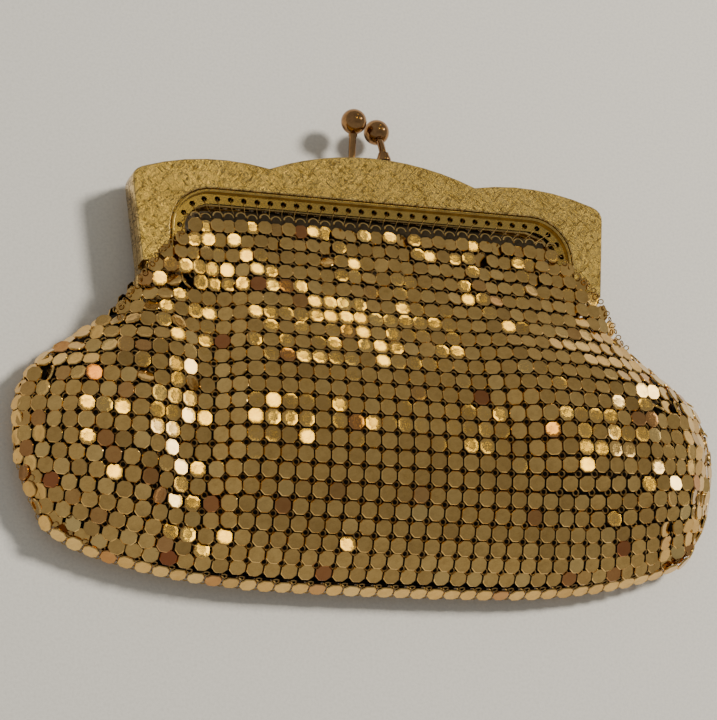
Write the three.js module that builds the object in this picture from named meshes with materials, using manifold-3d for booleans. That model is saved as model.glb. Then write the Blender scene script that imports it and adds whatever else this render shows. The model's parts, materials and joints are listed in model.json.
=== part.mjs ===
// A metal-mesh evening bag, lying on its back. Two stamped brass frame halves hinge at their feet and
// close with a pair of ball finials. The bag is a pouch of small linked plates with a satin lining.
// Millimetres, +Z up, +X across the bag, +Y from the pouch towards the finials.
// The bag is worked out about the hinge: y = 0 on the hinge axis, z = 0 on the surface that it lies on.
// The finished group is then moved so that its origin is under the middle of the whole bag.
import * as THREE from "three";
import { mergeVertices } from "three/addons/utils/BufferGeometryUtils.js";
import Module from "manifold-3d";

const wasm = await Module();
wasm.setup();

// ---- Driving sizes -------------------------------------------------------------------------------

// Frame halves.
const FRAME_HALF_WIDTH = 46; // from the middle to the outer corner
const FRAME_LEAN = 0.094; // each side leans in towards its foot by this much per millimetre
const APEX_Y = 26.9; // top of the middle hump
const CUSP_Y = 22.9; // dip between two humps
const HUMP_Y = 23.8; // top of a side hump
const CUSP_IN = 25.9; // from the outer corner in to the dip
const HUMP_IN = 17; // from the outer corner in to the top of a side hump
const CORNER_ROUND = 2;
const FOOT_Y = 3.2; // the frame's legs end here, above the hinge axis
const LEG_WIDTH = 7; // from the outer corner in to the inner edge
const ARCH_Y = 18.1; // top of the inner edge
const ARCH_ROUND = 8;
const SHEET = 0.6; // sheet brass
const HALF_DEPTH = 2.65; // depth of one stamped half
const PARTING_GAP = 0.2; // between the closed halves
const FRAME_BACK_Z = 3.5; // the back frame's outer face, above the surface

// Stitching bow, the perforated rim inside each frame half.
const BOW_GAP = 0.15;
const BEAD_WIDTH = 0.6;
const BOW_WIDTH = 2.6; // bead and perforated rim together
const BOW_TUCK = 1.4; // how far the bow reaches under the frame plate
const BOW_SHEET = 0.5;
const BOW_RECESS = 0.75; // rim below the frame's face
const HOLE_RADIUS = 0.55;
const HOLE_PITCH = 2.5;
const HOLE_INSET = 0.95; // hole centre to the rim's inner edge
const HOLE_SIDES = 10;

// Retaining wire that the mesh hangs on.
const WIRE_RADIUS = 0.35;
const WIRE_DROP = 0.2; // clearance to the bow
const WIRE_SIDES = 6;

// Hinge.
const EAR_SHEET = 0.7;
const EAR_RADIUS = 2.3;
const EAR_GAP = 0.2; // between the two ears of one hinge
const EAR_REACH = 2.6; // how far an ear runs up its leg
const PIN_RADIUS = 0.8;
const PIN_CLEARANCE = 0.1;
const RIVET_HEAD_RADIUS = 1.5;
const RIVET_HEAD = 0.5;
const RIVET_PLAY = 0.1; // between a rivet head and the ear
const ROUND_SIDES = 16;

// Finials.
const BALL_RADIUS = 2.4;
const BALL_GAP = 0.4; // between the two balls, seen from the front
const FRONT_BALL_Y = 34; // ball on the front frame's stem
const FRONT_BALL_Z = 4.6; // it leans back
const BACK_BALL_Y = 34.8; // ball on the back frame's stem
const BACK_BALL_Z = 6.7; // it leans forward
const STEM_RADIUS = 0.7;
const STEM_RISE = 2.2; // straight stretch above the frame
const STEM_SEAT = 0.1; // gap that the solder fills
const COLLAR_RADIUS = 1.35;
const COLLAR_TOP_RADIUS = 1.0;
const FRONT_COLLAR_HEIGHT = 1.6;
const BACK_COLLAR_HEIGHT = 0.9;
const COLLAR_BORE_GAP = 0.2;

// Pouch.
const POUCH_HALF_WIDTH = 66.7;
const SHOULDER_OUT = 0; // the pouch's half width at the frame's feet, past the frame's own
const SHOULDER_RUN = 25.5; // along Y, from the feet down to the full width
const SIDE_END_Y = -26; // where the lower corner's curve begins
const CORNER_X_RADIUS = 20;
const CORNER_Y_RADIUS = 25;
const LAST_ROW_END_Y = -44.8; // where the bottom row meets the side
const BOTTOM_Y = -54;
const ROW_BOW = 3.6; // how late the bottom row curves up
const SEAM_Z = 5.2; // height of the side seam
const BELLY_Z = 20;
const BELLY_AT = 0.6; // share of the way from the feet to the bottom edge
const LIP_DROP = 0.42; // how far the belly has fallen at the lip, as a share of its height
const SIDE_FULLNESS = 6; // how late the belly falls towards the side seams
const SIDE_FALL = 0.5; // how sharply it falls there
const BOTTOM_FULLNESS = 2.2; // how late it falls towards the bottom edge
const LIP_Y = -6; // upper edge of the part that never moves
const MESH_THICKNESS = 0.8;
const SEAM_GAP = 1.2; // between front and back mesh, filled by links
const LINK_RADIUS = 0.4;
const LINING_GAP = 0.3;
const LINING_THICKNESS = 0.3;
const BEND_GAP = 0.3; // between the moving, bending and still mesh
const MESH_EDGE_GAP = 0.5; // between the mesh and the bow's inner edge
const UPPER_END_Y = 3; // lower edge of the mesh that moves with the front frame
const SLOT = 1.5; // open slot between the bow and the first row of mesh
const FRONT_RISE = 2.4; // how far the moving mesh swells above the bow
const BACK_CLEARANCE = 0.4; // between the back lining and the frame's legs
const FLAT_SPREAD = 1.16; // how far the back's flat part reaches towards the seam

const ACROSS = 20; // facets across the mesh
const LINING_ACROSS = 16; // facets across the lining

// ---- Sizes that follow ---------------------------------------------------------------------------

const HINGE_Z = FRAME_BACK_Z + HALF_DEPTH + PARTING_GAP / 2;
const FRAME_FRONT_Z = 2 * HINGE_Z - FRAME_BACK_Z;
const BALL_OFFSET = BALL_RADIUS + BALL_GAP / 2; // each ball's place left or right of the middle
const ARCH_HALF = FRAME_HALF_WIDTH - LEG_WIDTH;
const CUSP_X = FRAME_HALF_WIDTH - CUSP_IN;
const HUMP_X = FRAME_HALF_WIDTH - HUMP_IN;
const MIDDLE_ARC = (CUSP_X ** 2 + (APEX_Y - CUSP_Y) ** 2) / (2 * (APEX_Y - CUSP_Y));
const SIDE_ARC = ((HUMP_X - CUSP_X) ** 2 + (HUMP_Y - CUSP_Y) ** 2) / (2 * (HUMP_Y - CUSP_Y));
const CORNER_Y = HUMP_Y - SIDE_ARC + Math.sqrt(SIDE_ARC ** 2 - (FRAME_HALF_WIDTH - HUMP_X) ** 2);
const FOOT_X = FRAME_HALF_WIDTH - FRAME_LEAN * (CORNER_Y - FOOT_Y);
const BOW_OUTER = ARCH_HALF - BOW_GAP;
const BOW_INNER = BOW_OUTER - BOW_WIDTH;
const BOW_Z = FRAME_FRONT_Z - BOW_RECESS; // top of the front bow's rim
const MESH_HALF_TOP = BOW_INNER - MESH_EDGE_GAP;
const SHOULDER_X = FOOT_X + SHOULDER_OUT;
const LIP_T = (FOOT_Y - LIP_Y) / (FOOT_Y - BOTTOM_Y);
const SLOT_Y = ARCH_Y - BOW_GAP - BOW_WIDTH - SLOT; // upper edge of the mesh
const BACK_RIM_Z = 2 * HINGE_Z - BOW_Z + BOW_SHEET; // inner side of the back bow's rim
const BACK_TOP_SHARE = (SLOT_Y - LIP_Y) / (SLOT_Y - BOTTOM_Y); // share of the back above the lip
const LINING_NEAR = MESH_THICKNESS + LINING_GAP; // the lining's depth under the mesh's face
const LINING_FAR = LINING_NEAR + LINING_THICKNESS;

const gold = new THREE.MeshStandardMaterial({ color: 0xb08a3c, metalness: 1, roughness: 0.35 });
const brightGold = new THREE.MeshStandardMaterial({ color: 0xb8863f, metalness: 1, roughness: 0.15 });
const plateGold = new THREE.MeshStandardMaterial({ color: 0xc29a4e, metalness: 1, roughness: 0.25 });
const satin = new THREE.MeshStandardMaterial({ color: 0x16140f, metalness: 0, roughness: 0.6 });

// ---- Solids --------------------------------------------------------------------------------------

/** A geometry as a manifold-3d solid. */
function solidOf(geometry) {
  const bare = geometry.clone();
  bare.deleteAttribute("normal");
  bare.deleteAttribute("uv");
  const merged = mergeVertices(bare, 1e-4);
  return new wasm.Manifold(
    new wasm.Mesh({
      numProp: 3,
      vertProperties: merged.attributes.position.array,
      triVerts: new Uint32Array(merged.index.array),
    }),
  );
}

/** A manifold-3d solid as a geometry. */
function geometryOf(solid) {
  const mesh = solid.getMesh();
  const geometry = new THREE.BufferGeometry();
  geometry.setAttribute("position", new THREE.BufferAttribute(mesh.vertProperties, 3));
  geometry.setIndex(new THREE.BufferAttribute(mesh.triVerts, 1));
  geometry.computeVertexNormals();
  return geometry;
}

/** The union of several geometries, less some others. */
function join(parts, cuts = []) {
  let solid = solidOf(parts[0]);
  for (const part of parts.slice(1)) solid = solid.add(solidOf(part));
  for (const cut of cuts) solid = solid.subtract(solidOf(cut));
  return geometryOf(solid);
}

/** A flat outline made into a plate between two heights. */
function plate(points, fromZ, toZ, holes = []) {
  const shape = new THREE.Shape(points);
  shape.holes = holes;
  const made = new THREE.ExtrudeGeometry(shape, { depth: toZ - fromZ, bevelEnabled: false });
  return made.translate(0, 0, fromZ);
}

/** A round bar, tube or pin turned about the X axis, from (x, radius) pairs. */
function turnedAlongX(profile) {
  const points = profile.map(([x, radius]) => new THREE.Vector2(radius, x));
  const made = new THREE.LatheGeometry(points, ROUND_SIDES);
  return made.rotateZ(-Math.PI / 2);
}

/** The front half's geometry turned over the parting plane for the back half. */
function toBack(geometry) {
  const made = geometry.clone().scale(1, 1, -1).translate(0, 0, 2 * HINGE_Z);
  const index = made.index ? Array.from(made.index.array) : [...Array(made.attributes.position.count).keys()];
  for (let i = 0; i < index.length; i += 3) [index[i + 1], index[i + 2]] = [index[i + 2], index[i + 1]];
  made.setIndex(index);
  return made;
}

// ---- Outlines ------------------------------------------------------------------------------------

/** Points of an arc on a circle whose top is at (topX, topY), between two x values. */
function humpArc(topX, topY, radius, fromX, toX, steps) {
  const points = [];
  for (let i = 0; i <= steps; i++) {
    const x = fromX + ((toX - fromX) * i) / steps;
    points.push(new THREE.Vector2(x, topY - radius + Math.sqrt(radius ** 2 - (x - topX) ** 2)));
  }
  return points;
}

/** The frame's outer edge from the left foot over the humps to the right foot, set in by a distance. */
function outerEdge(inset) {
  const footX = FOOT_X - inset;
  const cornerX = FRAME_HALF_WIDTH - inset;
  const leanX = (y) => cornerX - FRAME_LEAN * (CORNER_Y - y);
  const roundY = CORNER_Y - inset - CORNER_ROUND;
  const roundX = cornerX - CORNER_ROUND;
  const hump = humpArc(HUMP_X, HUMP_Y - inset, SIDE_ARC, CUSP_X, roundX, 6);
  const end = hump[hump.length - 1];
  const corner = new THREE.QuadraticBezierCurve(
    end,
    new THREE.Vector2(cornerX, CORNER_Y - inset),
    new THREE.Vector2(leanX(roundY), roundY),
  ).getPoints(4);
  const half = [...humpArc(0, APEX_Y - inset, MIDDLE_ARC, 0, CUSP_X, 6), ...hump.slice(1), ...corner.slice(1)];
  half.push(new THREE.Vector2(footX, FOOT_Y + inset));
  const left = half.slice(1).reverse();
  return [...left.map((p) => new THREE.Vector2(-p.x, p.y)), ...half];
}

/** A round-cornered arch from the right foot back to the left foot. */
function archEdge(halfWidth, topY, radius, footY) {
  const path = new THREE.Path();
  path.moveTo(halfWidth, footY);
  path.lineTo(halfWidth, topY - radius);
  path.absarc(halfWidth - radius, topY - radius, radius, 0, Math.PI / 2, false);
  path.absarc(-halfWidth + radius, topY - radius, radius, Math.PI / 2, Math.PI, false);
  path.lineTo(-halfWidth, footY);
  const points = path.getPoints(4);
  return points.filter((p, i) => i === 0 || p.distanceTo(points[i - 1]) > 1e-6);
}

/** The arch that lies inside the frame's inner edge by a distance. */
function archInside(distance, footY = FOOT_Y) {
  return archEdge(ARCH_HALF - distance, ARCH_Y - distance, ARCH_ROUND - distance, footY);
}

/** A closed band between an outer and an inner edge. */
function band(outer, inner) {
  return [...outer, ...inner];
}

// ---- Frame halves --------------------------------------------------------------------------------

/** One hinge ear of the front frame on the side of positive x, standing in the Y-Z plane. */
function ear(innerX) {
  const shape = new THREE.Shape();
  const topZ = FRAME_FRONT_Z - SHEET / 2;
  const lowZ = HINGE_Z + PARTING_GAP / 2;
  shape.moveTo(EAR_RADIUS, 0);
  shape.lineTo(EAR_RADIUS, lowZ - HINGE_Z);
  shape.lineTo(FOOT_Y + EAR_REACH, lowZ - HINGE_Z);
  shape.lineTo(FOOT_Y + EAR_REACH, topZ - HINGE_Z);
  shape.lineTo(0, topZ - HINGE_Z);
  shape.absarc(0, 0, EAR_RADIUS, Math.PI / 2, 2 * Math.PI, false);
  const hole = new THREE.Path();
  hole.absarc(0, 0, PIN_RADIUS + PIN_CLEARANCE, 0, 2 * Math.PI, true);
  shape.holes.push(hole);
  const made = new THREE.ExtrudeGeometry(shape, { depth: EAR_SHEET, bevelEnabled: false, curveSegments: 6 });
  // The shape's x runs along Y and its y along Z.
  return made.applyMatrix4(new THREE.Matrix4().set(0, 0, 1, innerX, 1, 0, 0, 0, 0, 1, 0, HINGE_Z, 0, 0, 0, 1));
}

/** A mirrored copy of a geometry across x = 0 with its faces turned out again. */
function mirrored(geometry) {
  const made = (geometry.index ? geometry.toNonIndexed() : geometry.clone()).scale(-1, 1, 1);
  const index = [...Array(made.attributes.position.count).keys()];
  for (let i = 0; i < index.length; i += 3) [index[i + 1], index[i + 2]] = [index[i + 2], index[i + 1]];
  made.setIndex(index);
  return made;
}

/** A frame half in the front place: scalloped face, turned-down rim and two hinge ears. */
function framePlate(earInnerX) {
  const outline = band(outerEdge(0), archInside(0));
  const face = plate(outline, FRAME_FRONT_Z - SHEET, FRAME_FRONT_Z);
  const block = plate(outline, FRAME_FRONT_Z - HALF_DEPTH, FRAME_FRONT_Z - SHEET / 2);
  const hollow = plate(outerEdge(SHEET), FRAME_FRONT_Z - 2 * HALF_DEPTH, FRAME_FRONT_Z - SHEET);
  const oneEar = ear(earInnerX);
  return join([face, join([block], [hollow]), oneEar, mirrored(oneEar)]);
}

/** Centres of the stitching holes along the bow, evenly spaced out from the middle. */
function holeCentres() {
  const line = archInside(BOW_GAP + BOW_WIDTH - HOLE_INSET, FOOT_Y + HOLE_PITCH);
  const curve = new THREE.CurvePath();
  for (let i = 1; i < line.length; i++) curve.add(new THREE.LineCurve(line[i - 1], line[i]));
  const length = curve.getLength();
  const each = Math.floor(length / 2 / HOLE_PITCH);
  const centres = [];
  for (let i = -each; i <= each; i++) centres.push(curve.getPointAt(0.5 + (i * HOLE_PITCH) / length));
  return centres;
}

/** The perforated bow in the front place: a rim tucked under the plate, with a raised bead. */
function stitchingBow() {
  const holes = holeCentres().map((centre) => {
    const hole = new THREE.Path();
    hole.absarc(centre.x, centre.y, HOLE_RADIUS, 0, 2 * Math.PI, true);
    hole.curves[0].getPoints = () =>
      [...Array(HOLE_SIDES + 1).keys()].map((k) => {
        const turn = (-2 * Math.PI * k) / HOLE_SIDES;
        return new THREE.Vector2(
          centre.x + HOLE_RADIUS * Math.cos(turn),
          centre.y + HOLE_RADIUS * Math.sin(turn),
        );
      });
    return hole;
  });
  const foot = FOOT_Y + SHEET + BOW_GAP;
  const innerEdge = BOW_GAP + BOW_WIDTH;
  const outer = archInside(-BOW_TUCK, foot);
  const rim = plate(band(archInside(innerEdge, foot).reverse(), outer), BOW_Z - BOW_SHEET, BOW_Z, holes);
  const bead = plate(
    band(archInside(BOW_GAP + BEAD_WIDTH, foot).reverse(), archInside(BOW_GAP, foot)),
    BOW_Z - BOW_SHEET / 2,
    FRAME_FRONT_Z,
  );
  return join([rim, bead]);
}

/** A round wire bent along the bow under its holes, in the front place. */
function retainingWire() {
  const foot = FOOT_Y + SHEET + BOW_GAP;
  const flat = archInside(BOW_GAP + BOW_WIDTH - HOLE_INSET, foot);
  const wireZ = BOW_Z - BOW_SHEET - WIRE_DROP - WIRE_RADIUS;
  const path = new THREE.CurvePath();
  for (let i = 1; i < flat.length; i++) {
    const from = new THREE.Vector3(flat[i - 1].x, flat[i - 1].y, wireZ);
    path.add(new THREE.LineCurve3(from, new THREE.Vector3(flat[i].x, flat[i].y, wireZ)));
  }
  return tube(path, WIRE_RADIUS, 24);
}

/** A round tube along a path, closed at both ends. */
function tube(path, radius, steps, sides = WIRE_SIDES) {
  const section = new THREE.Shape();
  for (let i = 0; i <= sides; i++) {
    const turn = (2 * Math.PI * i) / sides;
    if (i === 0) section.moveTo(radius, 0);
    else section.lineTo(radius * Math.cos(turn), radius * Math.sin(turn));
  }
  return new THREE.ExtrudeGeometry(section, { steps, extrudePath: path, bevelEnabled: false });
}

/** A rivet through both ears of the hinge on the side of positive x. */
function hingeRivet(innerFaceX, outerFaceX) {
  const from = innerFaceX - RIVET_PLAY;
  const to = outerFaceX + RIVET_PLAY;
  return turnedAlongX([
    [from - RIVET_HEAD, 0],
    [from - RIVET_HEAD, RIVET_HEAD_RADIUS * 0.7],
    [from - RIVET_HEAD / 2, RIVET_HEAD_RADIUS],
    [from, RIVET_HEAD_RADIUS],
    [from, PIN_RADIUS],
    [to, PIN_RADIUS],
    [to, RIVET_HEAD_RADIUS],
    [to + RIVET_HEAD / 2, RIVET_HEAD_RADIUS],
    [to + RIVET_HEAD, RIVET_HEAD_RADIUS * 0.7],
    [to + RIVET_HEAD, 0],
  ]).translate(0, 0, HINGE_Z);
}

// ---- Finials -------------------------------------------------------------------------------------

/** Height of the frame's outer edge at an x near the middle. */
function apexEdgeY(x) {
  return APEX_Y - MIDDLE_ARC + Math.sqrt(MIDDLE_ARC ** 2 - x ** 2);
}

/** A finial's three pieces: collar on the frame's edge, bent stem and ball. */
function finial(x, rootZ, ballY, ballZ, collarHeight) {
  const baseY = apexEdgeY(x) + STEM_SEAT;
  const ballCentre = new THREE.Vector3(x, ballY, ballZ);
  const root = new THREE.Vector3(x, baseY, rootZ);
  const knee = new THREE.Vector3(x, baseY + STEM_RISE, rootZ);
  const lean = new THREE.Vector3().subVectors(ballCentre, knee).normalize();
  const top = ballCentre.clone().addScaledVector(lean, -(BALL_RADIUS + STEM_SEAT));
  const neck = top.clone().addScaledVector(lean, -STEM_RISE / 2);
  const stem = tube(new THREE.CubicBezierCurve3(root, knee, neck, top), STEM_RADIUS, 8, 8);
  const bore = STEM_RADIUS + COLLAR_BORE_GAP;
  const ring = [
    new THREE.Vector2(bore, 0),
    new THREE.Vector2(COLLAR_RADIUS, 0),
    new THREE.Vector2(COLLAR_RADIUS, collarHeight * 0.3),
    new THREE.Vector2(COLLAR_TOP_RADIUS, collarHeight * 0.85),
    new THREE.Vector2(COLLAR_TOP_RADIUS, collarHeight),
    new THREE.Vector2(bore, collarHeight),
    new THREE.Vector2(bore, 0),
  ];
  const collar = new THREE.LatheGeometry(ring, ROUND_SIDES).translate(x, baseY, rootZ);
  const ball = new THREE.SphereGeometry(BALL_RADIUS, ROUND_SIDES + 4, ROUND_SIDES - 6).translate(x, ballY, ballZ);
  return { collar, stem, ball };
}

// ---- Pouch ---------------------------------------------------------------------------------------

/** A smooth step from 0 to 1. */
function smooth(value) {
  const v = Math.min(1, Math.max(0, value));
  return v * v * (3 - 2 * v);
}

/** A share of the way, with its steps drawn closer together towards 1 and -1. */
function closer(share) {
  return Math.sin((Math.PI / 2) * share);
}

/** The pouch's half width at a place on its side edge. */
function sideHalfWidth(y) {
  const shoulder = SHOULDER_X + (POUCH_HALF_WIDTH - SHOULDER_X) * smooth((FOOT_Y - y) / SHOULDER_RUN);
  if (y >= SIDE_END_Y) return shoulder;
  const down = (SIDE_END_Y - y) / CORNER_Y_RADIUS;
  return POUCH_HALF_WIDTH - CORNER_X_RADIUS * (1 - Math.sqrt(Math.max(0, 1 - down ** 2)));
}

/** Plan place of the mesh: u from -1 to 1 across, t from 0 at the frame's feet to 1 at the bottom edge. */
function meshPlan(u, t) {
  const endY = FOOT_Y + (LAST_ROW_END_Y - FOOT_Y) * t;
  const middleY = FOOT_Y + (BOTTOM_Y - FOOT_Y) * t;
  const y = middleY + (endY - middleY) * Math.abs(u) ** ROW_BOW;
  return [u * sideHalfWidth(endY), y];
}

/** Share of its full thickness that the pouch has at t, along its middle. */
function bellyShare(t) {
  if (t < BELLY_AT) return 1 - LIP_DROP * ((BELLY_AT - t) / (BELLY_AT - LIP_T)) ** 2;
  return 1 - ((t - BELLY_AT) / (1 - BELLY_AT)) ** BOTTOM_FULLNESS;
}

/** A place in the front panel: u and t as in the plan, and a depth under its outer face. */
function frontPlace(u, t, depth) {
  const [x, y] = meshPlan(u, t);
  const across = (1 - Math.abs(u) ** SIDE_FULLNESS) ** SIDE_FALL;
  const edge = SEAM_Z + SEAM_GAP / 2;
  const z = edge + (BELLY_Z - depth - edge) * bellyShare(t) * across;
  return new THREE.Vector3(x - depth * u, y + depth * t ** 4, z);
}

/** A place in the part of the back panel below the lip, flat where it lies on the surface. */
function backLowerPlace(u, t, depth) {
  const [x, y] = meshPlan(u, t);
  const edge = SEAM_Z - SEAM_GAP / 2;
  const across = (1 - Math.abs(u) ** 5) ** (1 / 2.5);
  const along = (1 - Math.max(0, (t - BELLY_AT) / (1 - BELLY_AT)) ** 6) ** (1 / 2.5);
  const fall = Math.min(1, FLAT_SPREAD * across * along);
  return new THREE.Vector3(x - depth * u, y + depth * t ** 4, edge - (edge - depth) * fall);
}

/** A place in the back panel above the lip, which narrows into the arch and rises to the bow's rim. */
function backUpperPlace(u, y0, depth) {
  const narrow = smooth((y0 - LIP_Y) / (FOOT_Y + 1 - LIP_Y));
  const half = THREE.MathUtils.lerp(sideHalfWidth(meshPlan(u, LIP_T)[1]), MESH_HALF_TOP, narrow);
  const curl = 1 - smooth((y0 - LIP_Y) / (FOOT_Y - LIP_Y) / 0.5);
  const rise = smooth((y0 - FOOT_Y) / (SLOT_Y - FOOT_Y));
  const lowZ = Math.max(0, FRAME_BACK_Z - LINING_FAR - BACK_CLEARANCE);
  const edgeZ = THREE.MathUtils.lerp(lowZ, BACK_RIM_Z, rise);
  const sheetZ = BACK_RIM_Z * rise ** 2;
  const z = sheetZ + (edgeZ - sheetZ) * Math.abs(u) ** 3.5 + depth;
  const below = backLowerPlace(u, LIP_T, depth);
  const x = u * (half - depth * curl);
  return new THREE.Vector3(x, y0 - cornerFall(u, y0), z + (below.z - z) * curl);
}

/** A place in the whole back panel: v from 0 at the slot under the back bow to 1 at the bottom edge. */
function backPlace(u, v, depth) {
  if (v <= BACK_TOP_SHARE) {
    const down = v / BACK_TOP_SHARE;
    return backUpperPlace(u, THREE.MathUtils.lerp(SLOT_Y, meshPlan(u, LIP_T)[1], down), depth);
  }
  const t = LIP_T + ((1 - LIP_T) * (v - BACK_TOP_SHARE)) / (1 - BACK_TOP_SHARE);
  return backLowerPlace(u, t, depth);
}

/** How far a row near the arch's top drops at its ends, to follow the arch's round corner. */
function cornerFall(u, y) {
  const near = smooth((y - (SLOT_Y - ARCH_ROUND)) / ARCH_ROUND);
  return near * ARCH_ROUND * 0.55 * Math.abs(u) ** 6;
}

/** A place in the mesh that moves with the front frame: v from 0 at its lower edge to 1 at the slot. */
function upperPlace(u, v, depth) {
  const y0 = UPPER_END_Y + (SLOT_Y - UPPER_END_Y) * v;
  const swell = FRONT_RISE * (1 - v ** 2) * (1 - Math.abs(u) ** 3);
  const z = BOW_Z - BOW_SHEET + swell - depth;
  return new THREE.Vector3(u * MESH_HALF_TOP, y0 - cornerFall(u, y0), z);
}

/** A place in the mesh that bends as the frame opens: v from 0 at the pouch's lip to 1 at the moving mesh. */
function bendPlace(u, v, depth) {
  const low = frontPlace(u, LIP_T, 0);
  low.x *= (FOOT_X - LEG_WIDTH / 2) / frontPlace(1, LIP_T, 0).x;
  low.y += BEND_GAP;
  const high = upperPlace(u, 0, 0);
  high.y -= BEND_GAP;
  low.lerp(high, v);
  low.z -= depth;
  return low;
}

/** A closed sheet between two depths of a place function, with u from -1 to 1 and v from 0 to 1. */
function sheet(place, nearDepth, farDepth, across, down) {
  const points = [];
  for (const depth of [nearDepth, farDepth])
    for (let j = 0; j <= down; j++)
      for (let i = 0; i <= across; i++) points.push(place(-1 + (2 * i) / across, j / down, depth));
  const layer = points.length / 2;
  const at = (side, i, j) => side * layer + j * (across + 1) + i;
  const index = [];
  const quad = (a, b, c, d) => index.push(a, b, c, a, c, d);
  for (let j = 0; j < down; j++)
    for (let i = 0; i < across; i++) {
      quad(at(0, i, j), at(0, i + 1, j), at(0, i + 1, j + 1), at(0, i, j + 1));
      quad(at(1, i, j), at(1, i, j + 1), at(1, i + 1, j + 1), at(1, i + 1, j));
    }
  for (let i = 0; i < across; i++) {
    quad(at(1, i, 0), at(1, i + 1, 0), at(0, i + 1, 0), at(0, i, 0));
    quad(at(0, i, down), at(0, i + 1, down), at(1, i + 1, down), at(1, i, down));
  }
  for (let j = 0; j < down; j++) {
    quad(at(0, 0, j), at(0, 0, j + 1), at(1, 0, j + 1), at(1, 0, j));
    quad(at(1, across, j), at(1, across, j + 1), at(0, across, j + 1), at(0, across, j));
  }
  const geometry = new THREE.BufferGeometry().setFromPoints(points);
  geometry.setIndex(index);
  if (solidOf(geometry).volume() < 0) geometry.setIndex(index.reverse());
  geometry.computeVertexNormals();
  return geometry;
}

/** A row of links that joins the front and back mesh along points of the pouch's edge. */
function seamLinks(points) {
  return tube(new THREE.CatmullRomCurve3(points), LINK_RADIUS, 2 * points.length);
}

/** The side seam on the side of positive or negative x. */
function sideSeam(side) {
  const points = [];
  for (let i = 0; i <= 8; i++) {
    const t = LIP_T + (1 - LIP_T) * (0.02 + 0.96 * closer(i / 8));
    const [x, y] = meshPlan(side, t);
    points.push(new THREE.Vector3(x - side * LINK_RADIUS, y, SEAM_Z));
  }
  return seamLinks(points);
}

/** The row of links under the bottom edge. */
function bottomSeam() {
  const points = [];
  for (let i = 0; i <= 10; i++) {
    const [x, y] = meshPlan(0.97 * closer(i / 5 - 1), 1);
    points.push(new THREE.Vector3(x, y + LINK_RADIUS, SEAM_Z));
  }
  return seamLinks(points);
}

// ---- The bag -------------------------------------------------------------------------------------

const bag = new THREE.Group();

/** Adds one named piece. */
function add(name, geometry, material) {
  const mesh = new THREE.Mesh(geometry, material);
  mesh.name = name;
  bag.add(mesh);
}

const backEarX = FOOT_X - EAR_SHEET;
const frontEarX = backEarX - EAR_GAP - EAR_SHEET;
add("front_frame_plate", framePlate(frontEarX), gold);
add("back_frame_plate", toBack(framePlate(backEarX)), gold);

const bow = stitchingBow();
add("front_stitching_bow", bow, brightGold);
add("back_stitching_bow", toBack(bow), brightGold);

const wire = retainingWire();
add("front_retaining_wire", wire, brightGold);
add("back_retaining_wire", toBack(wire), brightGold);

const rivet = hingeRivet(frontEarX, FOOT_X);
add("hinge_rivet_right", rivet, brightGold);
add("hinge_rivet_left", mirrored(rivet), brightGold);

const frontRootZ = FRAME_FRONT_Z - HALF_DEPTH / 2;
const backRootZ = FRAME_BACK_Z + HALF_DEPTH / 2;
const frontFinial = finial(BALL_OFFSET, frontRootZ, FRONT_BALL_Y, FRONT_BALL_Z, FRONT_COLLAR_HEIGHT);
const backFinial = finial(-BALL_OFFSET, backRootZ, BACK_BALL_Y, BACK_BALL_Z, BACK_COLLAR_HEIGHT);
for (const [side, pieces] of Object.entries({ front: frontFinial, back: backFinial }))
  for (const [piece, geometry] of Object.entries(pieces)) add(`${side}_finial_${piece}`, geometry, brightGold);

const closerAtSeam = (place) => (u, v, depth) => place(closer(u), v, depth);
const frontLower = (u, v, depth) => frontPlace(u, LIP_T + (1 - LIP_T) * closer(v), depth);
const panels = [
  ["front_panel", closerAtSeam(frontLower), 10],
  ["back_panel", closerAtSeam(backPlace), 15],
  ["front_upper", closerAtSeam(upperPlace), 4],
  ["front_bend", closerAtSeam(bendPlace), 3],
];
for (const [name, place, down] of panels) {
  add(`mesh_${name}`, sheet(place, 0, MESH_THICKNESS, ACROSS, down), plateGold);
  add(`lining_${name}`, sheet(place, LINING_NEAR, LINING_FAR, LINING_ACROSS, down), satin);
}
add("seam_links_left", sideSeam(-1), plateGold);
add("seam_links_right", sideSeam(1), plateGold);
add("seam_links_bottom", bottomSeam(), plateGold);

const box = new THREE.Box3().setFromObject(bag);
bag.position.set(-(box.min.x + box.max.x) / 2, -(box.min.y + box.max.y) / 2, -box.min.z);

export default bag;
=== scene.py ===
"""Looks of a metal-mesh evening bag with a scalloped, hinged frame and a ball clasp.

Lengths are millimetres measured from the hinge: x across the bag, y up from the hinge pins towards the clasp,
z above the table. `at` turns such a place into the frame's metres.
"""

import json
import logging
import math
from collections.abc import Callable, Iterable
from dataclasses import dataclass
from enum import Enum
from functools import cache

import bmesh
import bpy
import numpy as np
from mathutils import Matrix, Vector


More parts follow.
